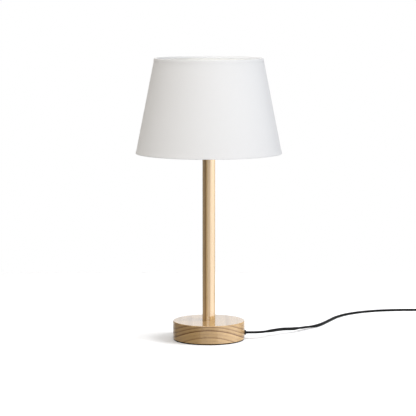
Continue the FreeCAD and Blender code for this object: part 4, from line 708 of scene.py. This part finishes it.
shade_apex = SHADE_FOOT + SHADE_FOOT_RADIUS / SHADE_SLOPE
# Cloth of the shade; its gap colour is painted shade between the threads.
woven = {
    "Colour": (0.895, 0.90, 0.92, 1), "Gap": (0.757, 0.757, 0.767, 1), "Thread": 0.45 * MM,
    "Apex": (0, 0, shade_apex * MM), "Sine": math.sin(math.atan(SHADE_SLOPE)), "Slub": 0.5,
}
cotton = surface(
    "shade_cotton", cloth_effect(), relief=0.05, given=woven, Sheen_Weight=0.15, Sheen_Roughness=0.4,
)
cover_outline = []
for inset, share, ends in ((COVER_INSET, 1, (0, 1)), (COVER_INSET + COVER_THICK, 0, (1, 0))):
    for end in ends:
        up = COVER_END + end * (SHADE_HEIGHT - 2 * COVER_END)
        cover_outline.append((shade_wall(inset, up), SHADE_FOOT + up, share))
cover_mesh = lapped("shade_cloth", cover_outline)
cover = new_piece("shade_cloth", cover_mesh, "shade", cotton, "shade_fabric", "shade_cover")

liner_film = grained(
    "liner_film", (0.90, 0.895, 0.88), (0.86, 0.85, 0.82),
    mottled=0.4, spread=18.0, gloss=0.48, grain=1300.0, relief=0.01,
)
dress(liner_film, "shade_liner")

# Light that the cloth lets through, inside the shade.
GLOW_POWER = 0.105
GLOW_SIZE = 0.03
GLOW_PLACE = (0.014, 0.024, 0.44)
GLOW_TINT = (0.95, 0.975, 1)
glow = bpy.data.objects.new("shade_glow", bpy.data.lights.new("shade_glow", "POINT"))
bpy.context.scene.collection.objects.link(glow)
glow.data.energy = GLOW_POWER
glow.data.shadow_soft_size = GLOW_SIZE
glow.data.color = GLOW_TINT
glow.location = GLOW_PLACE
inside_shade = bpy.data.collections.new("inside_shade")
inside_shade.objects.link(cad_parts["shade_liner"])
glow.light_linking.receiver_collection = inside_shade
glow.light_linking.blocker_collection = inside_shade

# Rims of the shade: a wire ring in each, and a strip of the cover's cloth that is turned over it and
# glued inside and out, with its ends lapped at the back.

# Sizes in millimetres.
TRIM_THICK = 0.4
TRIM_TALL = 5.0
TRIM_RETURN = 3.2
TRIM_FOLD = 0.55
TRIM_EDGE = 0.1
TRIM_CREASE = 0.15
FOLD_STEPS = 3
LINER_THICK = 0.5
GLUE = 0.05
RING_WIRE = 3.0


def rim_strip(name, rim, inward, ring_radius, node_name):
    """The strip of one rim, with rounded folds."""
    leaf = ring_radius - RING_WIRE / 2 - GLUE
    tall, under, back = (rim + inward * reach for reach in (TRIM_TALL, TRIM_THICK, TRIM_RETURN))
    corners = [
        (shade_wall(0, tall), tall, TRIM_EDGE), (shade_wall(0, rim), rim, TRIM_FOLD),
        (leaf - TRIM_THICK, rim, TRIM_FOLD), (leaf - TRIM_THICK, back, TRIM_EDGE),
        (leaf, back, TRIM_EDGE), (leaf, under, TRIM_CREASE),
        (shade_wall(TRIM_THICK, under), under, TRIM_CREASE),
        (shade_wall(TRIM_THICK, tall), tall, TRIM_EDGE),
    ]
    middle = (leaf + shade_wall(0, rim)) / 2
    points = eased([(r, SHADE_FOOT + up, rounding) for r, up, rounding in corners], FOLD_STEPS)
    outline = [(r, z, 1 if r > middle + RING_WIRE / 2 else 0) for r, z in points]
    return new_piece(name, lapped(name, outline), "shade", cotton, "shade_fabric", node_name)


def ring_radius(up):
    """Radius of a wire ring's centre at a height above the lower rim."""
    return shade_wall(COVER_INSET + COVER_THICK + GLUE + LINER_THICK + GLUE + RING_WIRE / 2, up)


low_ring = TRIM_THICK + GLUE + RING_WIRE / 2
high_ring = SHADE_HEIGHT - low_ring
low_strip = rim_strip("bottom_rim_strip", 0.0, 1, ring_radius(low_ring), "bottom_trim")
high_strip = rim_strip("top_rim_strip", SHADE_HEIGHT, -1, ring_radius(high_ring), "top_trim")
inside_shade.objects.link(high_strip)
inside_shade.objects.link(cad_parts["top_wire_ring"])
white_coat = grained(
    "white_coat", (0.80, 0.80, 0.79), (0.72, 0.72, 0.70),
    mottled=0.2, spread=50.0, gloss=0.36, grain=2400.0, relief=0.02,
)
dress(white_coat, "bottom_wire_ring", "top_wire_ring")

# Carrier of the shade: a flat hub that rests on the lampholder's collar, and three wire arms welded to
# it and to the lower ring, all coated white like the rings.
dress(white_coat, "carrier_hub", "carrier_arms")

# Bulb: a screw cap with its glass and tip, a white housing that holds two boards, and a milky globe
# over a ring of light sources.
milky = grained(
    "milky_globe", (0.90, 0.90, 0.88), (0.86, 0.86, 0.83),
    mottled=0.3, spread=25.0, gloss=0.22, grain=1500.0, relief=0.005,
    Subsurface_Weight=0.3, Subsurface_Scale=0.004, Subsurface_Radius=(1.0, 0.95, 0.9),
)
black_glass = grained(
    "black_glass", (0.012, 0.012, 0.013), (0.03, 0.03, 0.03),
    mottled=0.2, spread=90.0, gloss=0.10, grain=1500.0, relief=0.003, Coat_Weight=0.5,
)
board = grained(
    "white_board", (0.72, 0.73, 0.70), (0.60, 0.62, 0.58),
    mottled=0.3, spread=90.0, gloss=0.42, grain=1800.0, relief=0.01,
)
phosphor = grained(
    "phosphor", (0.80, 0.62, 0.14), (0.70, 0.50, 0.10),
    mottled=0.4, spread=300.0, gloss=0.40, grain=2500.0, relief=0.01,
)
dress(nickel, "bulb_cap")
dress(brass, "bulb_tip")
dress(black_glass, "bulb_insulator")
dress(white_plastic, "bulb_housing")
dress(board, "led_board", "driver_board")
dress(phosphor, "leds")
dress(milky, "bulb_globe")

# Cord: flat two-core cord, 5.4 by 3.8 mm, black PVC, 1.8 m long with a switch and a plug on it.
# It drops from the base to the table, turns on edge where it bends, and its spare length lies
# coiled and tied at the right, outside the picture.
CORD_WIDE = 5.4 * MM
CORD_THICK = 3.8 * MM
CORE_STEPS = 10
# Route from the base to the switch, on to the coil, and from the coil to the plug, in millimetres.
RUN = [
    (64.05, 0, 11.3), (88, 0, 11.3), (107, 17.7, 10.9), (129, 44, 9.6), (147, 53.5, 7.9), (169, 87, 4.9),
    (193, 113, 2.9), (212, 156, 2.7), (230, 203, 2.7), (247, 236, 2.2), (277, 266, 1.95), (320, 287, 1.95),
    (366, 293, 1.95), (410, 292, 1.95), (442, 276, 2.4), (457, 249, 8.5), (457, 225, 8.5),
]
LINK = [(457, 169, 8.5), (457, 149, 8.3), (457, 131, 4.6)]
TAIL = [(383.9, 138.4, 9.2), (408, 172.2, 7.6), (408, 193.2, 7.1), (408, 200, 7.1)]
# Stretches on edge, in metres along the cord: starts to turn, is up, starts back, is down again.
ON_EDGE = [(0.030, 0.055, 0.105, 0.127), (0.150, 0.180, 0.265, 0.300), (0.660, 0.700, 1.655, 1.700)]
EDGE_ROLL = math.radians(88)
# Coil, in millimetres: its middle, its reach and what each half turn changes, and its two layers.
COIL_X = 417
COIL_Y = 112
COIL_REACH = 40.0
COIL_STEP = 3.45
COIL_LOW = 3.8
COIL_RISE = 5.8
# Half turns inward on the table and outward on top; the one between them climbs.
COIL_INWARD = 6
COIL_OUTWARD = 4
HALF_TURN_POINTS = 7
CURVE_ORDER = 3
CURVE_STEPS = 6
# The curve runs inside its own points, at this share of their radius.
CURVE_SHARE = 0.972


def coil_turns():
    """Points of five and a half turns, inward on the table and outward on top of that layer."""
    reaches = [COIL_REACH]
    for step in [-1] * COIL_INWARD + [0] + [1] * COIL_OUTWARD:
        reaches.append(reaches[-1] + step * COIL_STEP)
    points = []
    for turn, (near, far) in enumerate(zip(reaches, reaches[1:])):
        side = 1 if turn % 2 == 0 else -1
        radius = (near + far) / 2 / CURVE_SHARE
        for step in range(HALF_TURN_POINTS):
            angle = math.pi * step / HALF_TURN_POINTS
            across = COIL_X + side * ((near - far) / 2 + radius * math.cos(angle))
            if turn == COIL_INWARD:
                climb = (1 - math.cos(angle)) / 2
            else:
                climb = 0 if turn < COIL_INWARD else 1
            points.append((across, COIL_Y - side * radius * math.sin(angle), COIL_LOW + COIL_RISE * climb))
    points.append((COIL_X - reaches[-1], COIL_Y, COIL_LOW + COIL_RISE))
    return points


route = bpy.data.curves.new("cord_route", "CURVE")
route.dimensions = "3D"
route.resolution_u = CURVE_STEPS
line = route.splines.new("NURBS")
places = RUN + LINK + coil_turns() + TAIL
line.points.add(len(places) - 1)
for point, place in zip(line.points, places):
    point.co = (*(c * MM for c in place), 1)
line.order_u = CURVE_ORDER
line.use_endpoint_u = True
route_object = bpy.data.objects.new("cord_route", route)
bpy.context.scene.collection.objects.link(route_object)
followed = bpy.data.meshes.new_from_object(route_object)
along = [v.co.copy() for v in followed.vertices]
bpy.data.objects.remove(route_object)


def ease(value, low, high):
    """0 below low, 1 above high, and a smooth step between them."""
    t = min(max((value - low) / (high - low), 0), 1)
    return t * t * (3 - 2 * t)


def flat_section():
    """The cord's section: two round cores side by side in one skin, with a groove on both faces."""
    core = CORD_THICK / 2
    apart = (CORD_WIDE - CORD_THICK) / 2
    reach = math.acos(-apart / core)
    ring = []
    for side in (1, -1):
        for step in range(CORE_STEPS + 1):
            angle = -reach + 2 * reach * step / CORE_STEPS
            ring.append((side * (apart + core * math.cos(angle)), side * core * math.sin(angle)))
    return ring


def flat_cord_rings(path):
    """Rings of the flat section along a path; it lies flat, but stands on edge where it bends."""
    section = flat_section()
    rings = []
    run = 0.0
    for i, spot in enumerate(path):
        before = path[max(i - 1, 0)]
        after = path[min(i + 1, len(path) - 1)]
        run += (spot - before).length
        ahead = (after - before).normalized()
        level = ahead.cross(Vector((0, 0, 1))).normalized()
        upright = level.cross(ahead)
        raised = sum(ease(run, up, high) - ease(run, down, low) for up, high, down, low in ON_EDGE)
        roll = EDGE_ROLL * raised
        broad = level * math.cos(roll) + upright * math.sin(roll)
        narrow = broad.cross(ahead)
        rings.append([spot + broad * a + narrow * b for a, b in section])
    return rings


cord_mesh = rings_mesh("supply_cord", flat_cord_rings(along), closed=False)
cord = new_piece(
    "supply_cord", cord_mesh, "stand", cord_pvc, "cord_cover",
    "cord_run", "cord_link", "cord_coil", "cord_tail",
)
below_flag.objects.link(cord)

# Switch on the cord: two shells of black plastic, screwed together from below, with a rocker over a
# brass contact. One core of the cord is cut and ends in two brass terminals, and the other runs
# straight through.
dress(black_plastic, "switch_bottom", "switch_top", "switch_rocker")
dress(brass, "switch_contact", "switch_terminals")
dress(core_brown, "switch_cores")
dress(zinc, "switch_screws")

# Plug: black plastic moulded on the cord's end, with two nickel-plated pins. The root of each pin is
# in a plastic sleeve.
dress(black_plastic, "plug_body", "plug_sleeves")
dress(nickel, "plug_pins")

# Tie: a band of black plastic, 8 mm wide and 0.8 mm thick, pulled round both layers of the coil. It
# holds the cord's spare length together.
STRAP_WIDE = 8.0
# Corners of the strap, across the coil: place, height and rounding in millimetres.
STRAP_OUTSIDE = [
    (128.6, 0, 1.6), (150.4, 0, 1.6), (150.4, 6.6, 1.6), (144.0, 13.4, 2.0), (128.6, 13.4, 2.0),
]
STRAP_INSIDE = [
    (129.4, 0.8, 0.8), (149.6, 0.8, 0.8), (149.6, 6.2, 0.8), (143.6, 12.6, 1.2), (129.4, 12.6, 1.2),
]
near_edge = (COIL_X - STRAP_WIDE / 2) * MM
far_edge = (COIL_X + STRAP_WIDE / 2) * MM
strap_loops = [[(y * MM, z * MM) for y, z in eased(loop)] for loop in (STRAP_OUTSIDE, STRAP_INSIDE)]
strap_rings = []
for outer, inner in zip(*strap_loops):
    strap_rings.append([(near_edge, *outer), (far_edge, *outer), (far_edge, *inner), (near_edge, *inner)])
strap_mesh = rings_mesh("coil_strap", strap_rings)
strap = new_piece("coil_strap", strap_mesh, "stand", black_plastic, "black_plastic", "coil_tie")
